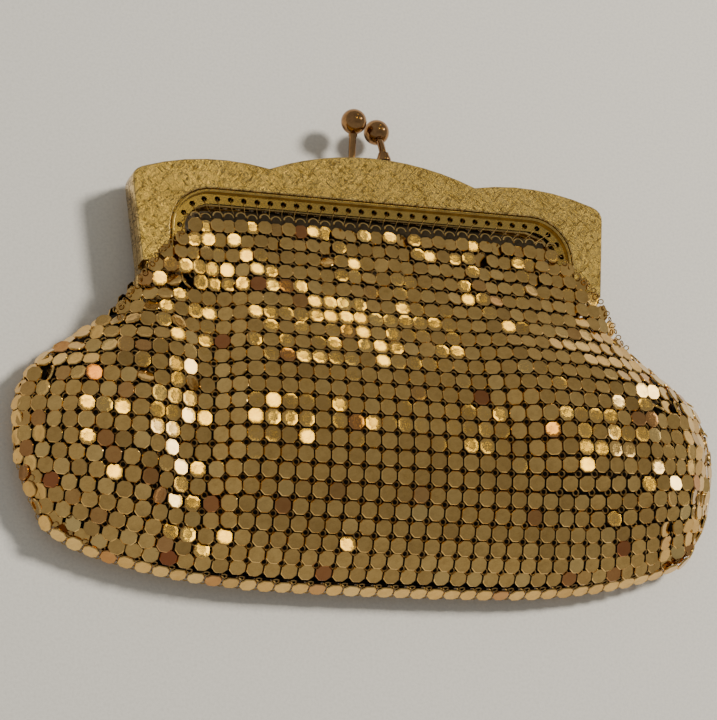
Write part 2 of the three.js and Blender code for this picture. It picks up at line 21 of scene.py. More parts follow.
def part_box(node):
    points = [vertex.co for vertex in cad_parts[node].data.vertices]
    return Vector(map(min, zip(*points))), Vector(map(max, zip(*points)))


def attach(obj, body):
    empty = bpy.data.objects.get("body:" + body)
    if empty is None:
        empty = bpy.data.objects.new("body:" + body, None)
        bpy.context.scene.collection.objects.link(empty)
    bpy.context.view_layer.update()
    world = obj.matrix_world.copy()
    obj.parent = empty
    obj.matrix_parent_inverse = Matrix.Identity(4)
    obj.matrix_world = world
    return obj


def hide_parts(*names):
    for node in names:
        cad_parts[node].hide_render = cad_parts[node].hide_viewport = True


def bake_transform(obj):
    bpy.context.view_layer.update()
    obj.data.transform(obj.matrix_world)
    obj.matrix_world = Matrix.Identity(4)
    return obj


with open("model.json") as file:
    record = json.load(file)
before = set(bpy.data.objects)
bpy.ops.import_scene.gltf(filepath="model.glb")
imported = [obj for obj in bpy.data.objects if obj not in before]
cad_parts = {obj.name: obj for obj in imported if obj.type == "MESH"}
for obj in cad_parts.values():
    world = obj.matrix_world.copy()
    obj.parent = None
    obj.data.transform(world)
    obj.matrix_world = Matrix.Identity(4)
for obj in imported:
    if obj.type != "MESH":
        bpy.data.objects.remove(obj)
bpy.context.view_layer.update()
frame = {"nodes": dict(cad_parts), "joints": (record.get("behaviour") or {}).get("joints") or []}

log = logging.getLogger("evening_bag")

MM = 0.001
HINGE_Y = frame["joints"][0]["pos_m"][1] / MM
HINGE_Z = frame["joints"][0]["pos_m"][2] / MM

# A CAD node's corners this near (in metres) are one, its faces this flat are one, and edges this sharp are
# rounded (in radians).
MERGE_WITHIN = 2e-6
FLAT_WITHIN = math.radians(0.4)
SHARP = 0.7

Place = tuple[float, float, float]
Colour = tuple[float, float, float]
Span = tuple[float, float]
Array = np.ndarray
Socket = bpy.types.NodeSocket
EdgeTest = Callable[[bmesh.types.BMEdge], bool]


class Body(Enum):
    """The two bodies that the hinge joins."""

    POUCH = "pouch"
    FRONT_FRAME = "front_frame"


class Side(Enum):
    """Which face of the bag a piece belongs to; the value is the way that it faces along z."""

    FRONT = 1
    BACK = -1

    @property
    def label(self) -> str:
        """The side's name as it stands in piece names."""
        return self.name.lower()

    @property
    def frame_body(self) -> Body:
        """The body that this side's frame half belongs to."""
        return Body.FRONT_FRAME if self is Side.FRONT else Body.POUCH

    def height(self, z: float) -> float:
        """A height of the front half, turned over about the hinge for the back."""
        return z if self is Side.FRONT else 2 * HINGE_Z - z


def at(x: float, y: float, z: float) -> Vector:
    """A place in millimetres from the hinge, as metres in the frame."""
    return Vector((x, y + HINGE_Y, z)) * MM


# ---- Curves and surfaces ---------------------------------------------------------------------------


def smooth_step(value: Array | float, low: float, high: float) -> Array:
    """A smooth step from 0 at low to 1 at high."""
    s = np.clip((value - low) / (high - low), 0, 1)
    return s * s * (3 - 2 * s)


def lengths_along(line: Array) -> Array:
    """How far along a line of points each one lies, from 0 at the first."""
    return np.concatenate([[0], np.cumsum(np.linalg.norm(np.diff(line, axis=0), axis=1))])


def point_along(line: Array, lengths: Array, where: float) -> Vector:
    """The point of a line at some length along it."""
    return Vector([float(np.interp(where, lengths, axis)) for axis in line.T])


@dataclass(frozen=True)
class Profile:
    """A smooth curve through a few (place, value) points in rising order of place."""

    points: tuple[Span, ...]

    def at(self, place: Array | float) -> Array:
        """The curve's value, which stays constant past both ends.

        Args:
            place: Where to read the curve, one place or many.

        Returns:
            The value at each place.
        """
        x, y = np.array(self.points, float).T
        slope = np.gradient(y, x)
        p = np.clip(np.asarray(place, float), x[0], x[-1])
        i = np.clip(np.searchsorted(x, p) - 1, 0, len(x) - 2)
        h = x[i + 1] - x[i]
        s = (p - x[i]) / h
        start = y[i] * (1 + 2 * s) * (1 - s) ** 2 + slope[i] * h * s * (1 - s) ** 2
        return start + y[i + 1] * s * s * (3 - 2 * s) + slope[i + 1] * h * s * s * (s - 1)


@dataclass(frozen=True)
class Wave:
    """A wave over the mesh, in radians per millimetre across and up, whose start may sway on its way up."""

    across: float = 0.0
    up: float = 0.0
    start: float = 0.0
    sway: float = 0.0
    sway_up: float = 0.0

    def at(self, x: Array, y: Array) -> Array:
        """The wave's height at each place, from -1 to 1."""
        return np.sin(x * self.across + y * self.up + self.start + self.sway * np.sin(y * self.sway_up))


@dataclass(frozen=True)
class PouchSurface:
    """The shape that the filled mesh takes.

    A place on it is (u, t): u goes from -1 at the left edge to 1 at the right, and t from 0 at the first row
    of plates to 1 at the last one before the fold. Profiles are read by y. Relief dies away at the borders.
    """

    first_row: float = 11.3
    last_row: float = -52.0
    first_row_end: float = 10.0
    last_row_end: float = -44.8
    row_bow: Span = (6.0, 2.4)
    half_width: Profile = Profile((
        (-45.8, 58.9), (-42.8, 62.0), (-36.0, 65.1), (-28.0, 66.7), (-22.0, 66.3), (-15.8, 63.3),
        (-10.2, 56.4), (-5.5, 49.8), (-1.2, 46.8), (3.4, 43.6), (10.6, 36.4), (14.0, 34.6),
    ))
    crest: Profile = Profile((
        (-54.0, 6.0), (-52.0, 8.6), (-50.0, 10.8), (-44.0, 14.8), (-36.0, 18.0), (-26.0, 19.0),
        (-16.0, 17.4), (-6.0, 14.0), (3.0, 11.2), (8.0, 9.8), (14.0, 8.4),
    ))
    edge: Profile = Profile((
        (-45.0, 5.2), (-16.0, 5.2), (-10.2, 5.6), (-5.5, 6.8), (-1.2, 8.4), (3.4, 9.9), (10.6, 9.5),
        (14.0, 8.9),
    ))
    back_crest: Profile = Profile((
        (-54.0, 4.4), (-52.0, 2.4), (-49.0, 0.7), (-45.0, 0.3), (-8.0, 0.3), (-1.0, 0.6), (5.0, 1.5),
        (9.0, 2.5), (14.0, 3.5),
    ))
    back_edge: Profile = Profile((
        (-45.0, 4.8), (-16.0, 4.8), (-10.2, 4.6), (-5.5, 4.0), (-1.2, 3.2), (3.4, 2.5), (10.6, 2.9),
        (14.0, 3.4),
    ))
    crown: Span = (4.0, 0.85)
    back_crown: Span = (8.0, 0.5)
    crease: Profile = Profile((
        (-50.4, -35.4), (-44.1, -35.6), (-35.4, -35.7), (-27.2, -35.0), (-20.1, -33.6), (-10.2, -31.7),
        (1.4, -30.0), (9.1, -28.6),
    ))
    crease_depth: Profile = Profile((
        (-52.0, 0.8), (-44.0, 2.2), (-18.0, 2.9), (-6.0, 2.4), (4.0, 1.4), (12.0, 0.5),
    ))
    crease_half_widths: Span = (6.2, 3.6)
    hip_lift: float = 1.5
    hip_past_crease: Span = (2.0, 14.0)
    hip_top: Span = (4.0, -12.0)
    step: Profile = Profile((
        (-42.4, 45.1), (-37.3, 38.5), (-34.3, 29.9), (-27.8, 24.8), (-19.7, 20.3), (-11.0, 18.5),
        (-0.9, 16.0),
    ))
    step_height: Profile = Profile((
        (-46.0, 0.8), (-38.0, 2.8), (-24.0, 3.3), (-10.0, 2.2), (0.0, 0.7), (6.0, 0.0),
    ))
    step_width: float = 11.0
    lobe_middle: float = 2.0
    lobe_zone: Span = (30.0, 48.0)
    swells: tuple[tuple[float, Wave, Wave], ...] = (
        (0.22, Wave(0.31, sway=0.9, sway_up=0.13), Wave(up=0.27, start=1.3)),
        (0.13, Wave(0.62, 0.21, 0.7), Wave(-0.12, 0.55)),
    )
    swell_in_middle: float = 0.22
    lobe_swell: tuple[float, Wave, Wave] = (0.3, Wave(0.47, -0.33), Wave(0.2, 0.46))
    pleat_height: float = 0.26
    pleats: Wave = Wave(0.74, sway=0.5, sway_up=0.3)
    pleat_top: Span = (-14.0, 6.0)
    pleat_reach: Span = (-36.0, -24.0)
    calm_sides: Span = (1.0, 0.86)
    calm_foot: Span = (1.0, 0.9)
    calm_top: Span = (-0.02, 0.1)
    normal_limit: float = 0.99
    normal_step: float = 0.008

    def plan(self, u: Array, t: Array) -> tuple[Array, Array, Array, Array]:
        """Where a place on the mesh lies, seen from above.

        Args:
            u: Share across, from -1 to 1.
            t: Share down, from 0 to 1.

        Returns:
            x and y of the place, then y where its row crosses the middle and y where it meets the edge.
        """
        middle = self.first_row + (self.last_row - self.first_row) * t
        end = self.first_row_end + (self.last_row_end - self.first_row_end) * t
        bow = self.row_bow[0] - self.row_bow[1] * t
        return u * self.half_width.at(end), middle + (end - middle) * np.abs(u) ** bow, middle, end

    def relief(self, x: Array, y: Array) -> Array:
        """How far folds and hollows lift the filled front above its plain crown.

        Args:
            x: How far across each place is.
            y: How far up each place is.

        Returns:
            The lift at each place.
        """
        off = x - self.crease.at(y)
        valley = np.exp(-((off / np.where(off < 0, *self.crease_half_widths)) ** 2))
        lift = -self.crease_depth.at(y) * valley
        slope = self.step.at(y + 0.5) - self.step.at(y - 0.5)
        across = (x - self.step.at(y)) * np.sqrt(1 - (slope / np.hypot(1, slope)) ** 2)
        lift += self.step_height.at(y) * smooth_step(across, -self.step_width / 2, self.step_width / 2)
        lift += self.hip_lift * smooth_step(-off, *self.hip_past_crease) * smooth_step(y, *self.hip_top)
        outside = smooth_step(np.abs(x - self.lobe_middle), *self.lobe_zone)
        swell = sum(height * first.at(x, y) * second.at(x, y) for height, first, second in self.swells)
        lift += (self.swell_in_middle + (1 - self.swell_in_middle) * outside) * swell
        height, first, second = self.lobe_swell
        lift += outside * height * first.at(x, y) * second.at(x, y)
        pleated = smooth_step(y, *self.pleat_top) * smooth_step(-np.abs(x), *self.pleat_reach)
        return lift + pleated * self.pleat_height * self.pleats.at(x, y)

    def place(self, side: Side, u: Array, t: Array) -> Array:
        """Places on the mesh's outer face.

        Args:
            side: The face of the bag.
            u: Share across.
            t: Share down.

        Returns:
            An array whose last axis is x, y, z in millimetres from the hinge.
        """
        u, t = np.broadcast_arrays(np.asarray(u, float), np.asarray(t, float))
        x, y, middle, end = self.plan(u, t)
        reach = np.clip(np.abs(u), 0, 1)
        if side is Side.FRONT:
            bend, crest, low = self.crown, self.crest.at(middle), self.edge.at(end)
            calm = smooth_step(reach, *self.calm_sides) * smooth_step(t, *self.calm_foot)
            lift = self.relief(x, y) * (calm * smooth_step(t, *self.calm_top))
        else:
            bend, crest, low = self.back_crown, self.back_crest.at(middle), self.back_edge.at(end)
            lift = 0.0
        z = low + (crest - low) * (1 - reach ** bend[0]) ** bend[1] + lift
        return np.stack([x, y, z], axis=-1)

    def normal(self, side: Side, u: Array, t: Array) -> tuple[Array, Array]:
        """The way that the mesh faces.

        Args:
            side: The face of the bag.
            u: Share across.
            t: Share down.

        Returns:
            Unit normals that point out of the bag, and unit tangents across it.
        """
        u = np.clip(u, -self.normal_limit, self.normal_limit)
        step = self.normal_step
        across = self.place(side, u + step, t) - self.place(side, u - step, t)
        down = self.place(side, u, t + step) - self.place(side, u, t - step)
        out = np.cross(down, across) * side.value
        out /= np.linalg.norm(out, axis=-1, keepdims=True)
        return out, across / np.linalg.norm(across, axis=-1, keepdims=True)


@dataclass
class Seat:
    """Where one plate or ring of the mesh sits, how worn it is, and how much red reflection is painted on it.
    """

    place: Vector
    out: Vector
    across: Vector
    column: int = 0
    tilt: Span = (0.0, 0.0)
    size: float = 1.0
    tone: float = 0.5
    # share of a painted red reflection mixed into the plate's colour
    painted_red_reflection: float = 0.0

    def matrix(self, drop: float = 0.0) -> Matrix:
        """The placing of a plate or ring on this seat.

        Args:
            drop: Millimetres that it sits under the seat.

        Returns:
            A matrix in the frame's metres for a shape drawn in millimetres.
        """
        x = (self.across - self.out * self.across.dot(self.out)).normalized()
        y = self.out.cross(x)
        turn = Matrix((x, y, self.out)).transposed().to_4x4()
        lean = Matrix.Rotation(self.tilt[0], 4, "X") @ Matrix.Rotation(self.tilt[1], 4, "Y")
        where = Matrix.Translation(at(*(self.place - self.out * drop)))
        return where @ turn @ lean @ Matrix.Scale(self.size * MM, 4)


@dataclass
class Lattice:
    """The rows and columns that the plates of one face sit in."""

    surface: PouchSurface
    side: Side
    rows: int = 23
    edge_gap: float = 2.3
    most_droop: float = 21.0
    last_droop: float = 29.0
    samples: tuple[int, int] = (301, 401)
    pitch: Profile = Profile(((0.0, 2.5), (0.25, 2.8), (0.5, 2.98), (1.0, 3.17)))
    columns: Profile = Profile((
        (0.0, 15.0), (0.12, 16.0), (0.25, 17.6), (0.45, 22.0), (0.78, 22.0), (1.0, 19.0),
    ))

    def row_shares(self) -> Array:
        """How far down each row lies, so that rows are evenly spaced along the middle of the face.

        Returns:
            One share for each row.
        """
        t = np.linspace(0, 1, self.samples[1])
        lengths = lengths_along(self.surface.place(self.side, 0 * t, t))
        return np.interp(np.linspace(0, lengths[-1], self.rows), lengths, t)

    def column_shares(self, t: float) -> dict[int, float]:
        """How far across each column lies in one row: a pitch apart in the middle and wider to the edge.

        Args:
            t: How far down the row lies.

        Returns:
            The share for each column, in their order from left to right.
        """
        share = np.linspace(0, 1, self.samples[0])
        count = int(round(float(self.columns.at(t))))
        pitch = float(self.pitch.at(t))
        shares = {0: 0.0}
        for way in (-1, 1):
            lengths = lengths_along(self.surface.place(self.side, way * share, np.full_like(share, t)))
            grow = (lengths[-1] - self.edge_gap - pitch * count) / count**2
            for column in range(1, count + 1):
                reach = pitch * column + grow * column**2
                shares[way * column] = way * float(np.interp(reach, lengths, share))
        return dict(sorted(shares.items()))

    def row(self, t: float, last: bool) -> list[Seat]:
        """The seats of one row, from its left end to its right.

        Args:
            t: How far down it lies.
            last: Whether it is the last row before the fold.

        Returns:
            One seat for each plate.
        """
        shares = self.column_shares(t)
        u = np.array(list(shares.values()))
        places = self.surface.place(self.side, u, np.full_like(u, t))
        out, across = self.surface.normal(self.side, u, np.full_like(u, t))
        if self.side is Side.FRONT:
            droop = np.degrees(np.arcsin(np.clip(-out[:, 1], 0, 1)))
            most = self.last_droop if last else self.most_droop
            eased = -np.sin(np.radians(most * np.tanh(droop / most)))
            out[:, 1] = np.where(out[:, 1] < 0, eased, out[:, 1])
            out /= np.linalg.norm(out, axis=-1, keepdims=True)
        return [Seat(Vector(p), Vector(n), Vector(a), c) for p, n, a, c in zip(places, out, across, shares)]

    def seats(self) -> list[list[Seat]]:
        """Every row of seats, from the frame down."""
        return [self.row(float(t), number == self.rows - 1) for number, t in enumerate(self.row_shares())]


# ---- Finishes --------------------------------------------------------------------------------------


def rgba(colour: Colour) -> tuple[float, float, float, float]:
    """A colour with full opacity."""
    return (*colour, 1.0)


@dataclass
class Bench:
    """Places nodes in one tree and wires them. A socket's value may be a number, a colour or an output."""

    tree: bpy.types.NodeTree

    def add(self, kind: str, settings: dict[str, object] | None = None, **sockets: object) -> bpy.types.Node:
        """Adds a node.

        Args:
            kind: The node's type without its ShaderNode prefix.
            settings: Properties of the node.
            sockets: Inputs by name, with _ for a space, or i0, i1 ... by number.

        Returns:
            The new node.
        """
        node = self.tree.nodes.new(kind if kind.startswith("Node") else f"ShaderNode{kind}")
        for name, value in (settings or {}).items():
            setattr(node, name, value)
        for name, value in sockets.items():
            numbered = name[0] == "i" and name[1:].isdigit()
            socket = node.inputs[int(name[1:]) if numbered else name.replace("_", " ")]
            if isinstance(value, Socket):
                self.tree.links.new(value, socket)
            else:
                socket.default_value = value
        return node

    def math(self, operation: str, first: object, second: object = 0.0, clamp: bool = False) -> Socket:
        """The output of a Math node on two values."""
        return self.add("Math", {"operation": operation, "use_clamp": clamp}, i0=first, i1=second).outputs[0]

    def blend(self, first: object, second: object, share: float) -> Socket:
        """The sum of a share of one value and the rest of another."""
        rest = self.math("MULTIPLY", second, round(1 - share, 6))
        return self.math("ADD", self.math("MULTIPLY", first, share), rest)

    def mix(self, factor: object, first: object, second: object) -> Socket:
        """The output of a colour mix."""
        settings = {"data_type": "RGBA", "blend_type": "MIX"}
        return self.add("Mix", settings, i0=factor, i6=first, i7=second).outputs[2]

    def span(self, value: object, low: float, high: float, start: float = 0.0, end: float = 1.0) -> Socket:
        """The output of a clamped Map Range node."""
        return self.add("MapRange", None, i0=value, i1=low, i2=high, i3=start, i4=end).outputs[0]

    def noise(self, vector: object, scale: object, detail: float = 2.0, rough: float = 0.5) -> Socket:
        """The value of a noise texture."""
        node = self.add("TexNoise", None, Vector=vector, Scale=scale, Detail=detail, Roughness=rough)
        return node.outputs[0]

    def use(self, group: bpy.types.NodeTree, **sockets: object) -> Socket:
        """The output of a shared effect, placed with its own values."""
        return self.add("Group", {"node_tree": group}, **sockets).outputs[0]

    def bump(self, height: Socket, distance: float, strength: float = 1.0) -> Socket:
        """The normal of a surface with some relief, whose height is in millimetres."""
        return self.add("Bump", None, Strength=strength, Distance=distance * MM, Height=height).outputs[0]


def start_group(name: str, output: str, **inputs: str | float) -> Bench:
    """Starts a node group.

    Args:
        name: The group's name.
        output: Its one output, a number.
        inputs: Its inputs: "Vector", or a number's default.

    Returns:
        A bench on its tree.
    """
    tree = bpy.data.node_groups.new(name, "ShaderNodeTree")
    for label, value in inputs.items():
        kind = "Vector" if value == "Vector" else "Float"
        socket = tree.interface.new_socket(label, in_out="INPUT", socket_type=f"NodeSocket{kind}")
        if kind == "Float":
            socket.default_value = value
    tree.interface.new_socket(output, in_out="OUTPUT", socket_type="NodeSocketFloat")
    return Bench(tree)


@cache
def brush_marks() -> bpy.types.NodeTree:
    """Fine scratches along one direction: Vector, Turn and Fineness in, Height out.

    Returns:
        The node group, built once.
    """
    bench = start_group("brush_marks", "Height", Vector="Vector", Turn="Vector", Fineness="Vector")
    given = bench.add("NodeGroupInput").outputs
    placing = {"Vector": given["Vector"], "Rotation": given["Turn"], "Scale": given["Fineness"]}
    turned = bench.add("Mapping", {"vector_type": "TEXTURE"}, **placing).outputs[0]
    fine = bench.noise(turned, 1.0, 3.0, 0.6)
    coarse = bench.noise(turned, 0.31, 2.0, 0.5)
    bench.add("NodeGroupOutput", None, Height=bench.blend(fine, coarse, 0.65))
    return bench.tree


@cache
def tarnish() -> bpy.types.NodeTree:
    """Cloudy wear: Vector, Size and Amount in, Mask out.

    Returns:
        The node group, built once.
    """
    bench = start_group("tarnish", "Mask", Vector="Vector", Size=200.0, Amount=0.5)
    given = bench.add("NodeGroupInput").outputs
    cloud = bench.noise(given["Vector"], given["Size"], 4.0, 0.6)
    speck = bench.noise(given["Vector"], bench.math("MULTIPLY", given["Size"], 6.0), 2.0, 0.5)
    worn = bench.span(bench.blend(cloud, speck, 0.7), 0.42, 0.66)
    bench.add("NodeGroupOutput", None, Mask=bench.math("MULTIPLY", worn, given["Amount"]))
    return bench.tree


@cache
def weave() -> bpy.types.NodeTree:
    """A fine cloth weave: Vector and Threads in, Height out.

    Returns:
        The node group, built once.
    """
    bench = start_group("weave", "Height", Vector="Vector", Threads=3000.0)
    given = bench.add("NodeGroupInput").outputs
    scaled = bench.add("VectorMath", {"operation": "SCALE"}, i0=given["Vector"], i3=given["Threads"])
    x, y = bench.add("SeparateXYZ", None, i0=scaled.outputs[0]).outputs[:2]
    warp, weft = bench.math("SINE", x), bench.math("SINE", bench.math("MULTIPLY", y, 0.4))
    bench.add("NodeGroupOutput", None, Height=bench.span(bench.math("MULTIPLY", warp, weft), -1.0, 1.0))
    return bench.tree


@dataclass(frozen=True)
class Finish:
    """A surface that pieces are dressed in."""

    name: str

    def material(self) -> bpy.types.Material:
        """The finish as a material.

        Returns:
            The material, made once.
        """
        made = bpy.data.materials.get(self.name)
        if made is None:
            made = bpy.data.materials.new(self.name)
            made.use_nodes = True
            made.node_tree.nodes.clear()
            bench = Bench(made.node_tree)
            shader = self.shader(bench, bench.add("TexCoord").outputs["Object"])
            bench.add("OutputMaterial", None, Surface=shader.outputs[0])
        return made

    def shader(self, bench: Bench, where: Socket) -> bpy.types.Node:
        """The finish's own shader, wired on its bench from places on the object."""
        raise NotImplementedError


@dataclass(frozen=True)
class MetalFinish(Finish):
    """A gold-plated surface with brush marks and tarnish.

    Args:
        bright: Colour of clean plating.
        dull: Colour where it has tarnished.
        rough: Roughness of clean plating.
        dull_rough: Roughness where it has tarnished.
        tarnish: How much of it has tarnished.
        cloud: Clouds of tarnish per metre.
        marks: Length, width and depth of one brush mark, in millimetres.
        turns: Directions of the brush marks, in degrees.
        relief: Height of the brush marks, in millimetres.
        streak_span: Heights of a mark between which the plating turns from bright to dull.
        contrast: How much duller the marks are than what lies between them.
    """

    bright: Colour
    dull: Colour
    rough: float
    dull_rough: float
    tarnish: float
    cloud: float
    marks: Place
    turns: tuple[float, ...]
    relief: float
    contrast: float
    streak_span: Span = (0.42, 0.66)

    def shader(self, bench: Bench, where: Socket) -> bpy.types.Node:
        """Wires the metal.

        Args:
            bench: The material's bench.
            where: Places on the object.

        Returns:
            The shader.
        """
        mask = bench.use(tarnish(), Vector=where, Size=self.cloud, Amount=self.tarnish)
        fineness = tuple(length * MM for length in self.marks)
        height = None
        for turn in self.turns:
            turned = (0.0, 0.0, math.radians(turn))
            marks = bench.use(brush_marks(), Vector=where, Turn=turned, Fineness=fineness)
            height = marks if height is None else bench.math("MAXIMUM", height, marks)
        streak = bench.math("MULTIPLY", bench.span(height, *self.streak_span), self.contrast)
        shade = bench.math("ADD", mask, streak, clamp=True)
        colour = self.colour(bench, bench.mix(shade, rgba(self.bright), rgba(self.dull)))
        rough = bench.span(shade, 0.0, 1.0, self.rough, self.dull_rough)
        return bench.add(
            "BsdfPrincipled", None, Base_Color=colour, Roughness=rough, Metallic=1.0,
            Normal=bench.bump(height, self.relief),
        )

    def colour(self, bench: Bench, base: Socket) -> Socket:
        """The base colour, which a finish of many small pieces varies from piece to piece."""
        return base


@dataclass(frozen=True)
class PlateFinish(MetalFinish):
    """Gold plating whose wear differs from plate to plate by the attribute tone, with a painted red
    reflection on some plates by a second attribute.
    """

    worn: Colour = (0.30, 0.17, 0.06)
    most_worn: float = 0.55
    pale: Colour = (0.92, 0.70, 0.30)
    most_pale: float = 0.5
    # a painted red reflection, mixed onto the plates that carry one
    painted_reflection_pink: Colour = (0.36, 0.095, 0.045)

    def colour(self, bench: Bench, base: Socket) -> Socket:
        """The base colour, darker or paler by plate, and pinker where a red reflection is painted on.

        Args:
            bench: The material's bench.
            base: The metal's plain colour.

        Returns:
            The plate's colour.
        """
        tone = bench.add("Attribute", {"attribute_name": "tone"}).outputs["Fac"]
        # the second attribute holds each plate's painted red reflection
        painted_red_reflection = bench.add("Attribute", {"attribute_name": "painted_red_reflection"}).outputs["Fac"]
        darker = bench.mix(bench.span(tone, 0.5, 0.0, 0.0, self.most_worn), base, rgba(self.worn))
        paler = bench.mix(bench.span(tone, 0.5, 1.0, 0.0, self.most_pale), darker, rgba(self.pale))
        # mixes the painted red reflection over the plate's colour
        return bench.mix(painted_red_reflection, paler, rgba(self.painted_reflection_pink))


@dataclass(frozen=True)
class SatinFinish(Finish):
    """Dark woven satin with a soft sheen."""

    cloth: Colour = (0.026, 0.019, 0.011)
    faded: Colour = (0.048, 0.034, 0.018)
    threads: float = 9000.0
    rough: Span = (0.42, 0.6)

    def shader(self, bench: Bench, where: Socket) -> bpy.types.Node:
        """Wires the cloth.

        Args:
            bench: The material's bench.
            where: Places on the object.

        Returns:
            The shader.
        """
        mask = bench.use(tarnish(), Vector=where, Size=90.0, Amount=0.8)
        woven = bench.use(weave(), Vector=where, Threads=self.threads)
        colour = bench.mix(mask, rgba(self.cloth), rgba(self.faded))
        gloss = {"Specular_IOR_Level": 0.06, "Sheen_Weight": 0.01, "Sheen_Roughness": 0.4}
        return bench.add(
            "BsdfPrincipled", None, Base_Color=colour, Roughness=bench.span(woven, 0.0, 1.0, *self.rough),
            Normal=bench.bump(woven, 0.05, 0.6), **gloss,
        )


@dataclass(frozen=True)
class PaperFinish(Finish):
    """The floor's pale paper with a faint speckle."""

    pale: Colour = (0.79, 0.755, 0.675)
    darker: float = 0.9
    specks: float = 1800.0
    rough: float = 0.55

    def shader(self, bench: Bench, where: Socket) -> bpy.types.Node:
        """Wires the paper.

        Args:
            bench: The material's bench.
            where: Places on the object.

        Returns:
            The shader.
        """
        speck = bench.noise(where, self.specks, 3.0, 0.6)
        speckle = rgba(tuple(channel * self.darker for channel in self.pale))
        colour = bench.mix(bench.span(speck, 0.4, 0.7), rgba(self.pale), speckle)
        bump = bench.bump(speck, 0.1, 0.3)
        return bench.add("BsdfPrincipled", None, Base_Color=colour, Normal=bump, Roughness=self.rough)


FRAME_GOLD = MetalFinish(
    "cross_brushed_gold", (0.87, 0.61, 0.23), (0.26, 0.165, 0.055), 0.20, 0.30, tarnish=0.3, cloud=260.0,
    marks=(1.0, 0.2, 1.0), turns=(48.0, -42.0), relief=0.085, contrast=1.0, streak_span=(0.52, 0.60),
)
BOW_GOLD = MetalFinish(
    "bow_satin_gold", (0.66, 0.44, 0.13), (0.38, 0.24, 0.07), 0.13, 0.20, tarnish=0.7, cloud=420.0,
    marks=(1.6, 0.3, 1.6), turns=(0.0,), relief=0.005, contrast=0.3,
)
WIRE_GOLD = MetalFinish(
    "brass_wire", (0.74, 0.50, 0.18), (0.36, 0.23, 0.08), 0.18, 0.34, tarnish=0.5, cloud=500.0,
    marks=(0.8, 0.2, 0.8), turns=(10.0,), relief=0.004, contrast=0.25,
)
CLASP_GOLD = MetalFinish(
    "coppery_polished_gold", (0.40, 0.22, 0.09), (0.20, 0.10, 0.045), 0.12, 0.22, tarnish=0.6, cloud=340.0,
    marks=(0.9, 0.18, 0.9), turns=(30.0,), relief=0.003, contrast=0.3,
)
PLATE_GOLD = PlateFinish(
    "plate_gold", (0.84, 0.53, 0.17), (0.58, 0.345, 0.10), 0.09, 0.16, tarnish=0.6, cloud=700.0,
    marks=(1.4, 0.12, 1.4), turns=(20.0,), relief=0.003, contrast=0.25,
)
LINK_GOLD = MetalFinish(
    "link_gold", (0.54, 0.34, 0.12), (0.30, 0.18, 0.07), 0.30, 0.45, tarnish=0.8, cloud=500.0,
    marks=(0.8, 0.2, 0.8), turns=(10.0,), relief=0.003, contrast=0.3,
)
SATIN = SatinFinish("dark_satin")
PAPER = PaperFinish("floor_pale")


# ---- Small shapes ----------------------------------------------------------------------------------


class Shading(Enum):
    """The angle in degrees under which edges are shaded smooth, by the kind of piece."""

    PAPER = None
    PLATES = 25.0
    PRESSED = 35.0
    RIVET = 40.0
    STEM = 50.0
    ROUND = 60.0
    CLOTH = 180.0


def finished_mesh(bm: bmesh.types.BMesh, name: str) -> bpy.types.Mesh:
    """Turns a bmesh into a mesh.

    Args:
        bm: The shape, which is freed.
        name: The mesh's name.

    Returns:
        The mesh.
    """
    mesh = bpy.data.meshes.new(name)
    bm.to_mesh(mesh)
    bm.free()
    return mesh


def piece(name: str, bm: bmesh.types.BMesh, finish: Finish, shading: Shading) -> bpy.types.Object:
    """Turns a bmesh into an object at the origin.

    Args:
        name: The piece's name.
        bm: Its shape in metres, which is freed.
        finish: What it is dressed in.
        shading: How smooth it is shaded.

    Returns:
        The new object, linked to the scene.
    """
    mesh = finished_mesh(bm, name)
    if "custom_normal" in mesh.attributes:
        mesh.attributes.remove(mesh.attributes["custom_normal"])
    made = bpy.data.objects.new(name, mesh)
    bpy.context.scene.collection.objects.link(made)
    mesh.materials.append(finish.material())
    if shading is not Shading.PAPER:
        mesh.shade_smooth()
        mesh.set_sharp_from_angle(angle=math.radians(shading.value))
    return made


def declare(made: bpy.types.Object, body: Body | None, stands_for: Iterable[str] = ()) -> None:
    """Hides the CAD nodes that a piece replaces and fixes it to the body that it moves with.

    Args:
        made: The piece.
        body: The body that it rides on, or None for a piece that spans the pouch and the front frame, which
            then rides on no body.
        stands_for: The CAD nodes that it replaces.
    """
    if stands_for:
        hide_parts(*stands_for)
    if body is None:
        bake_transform(made)
    else:
        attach(made, body.value)


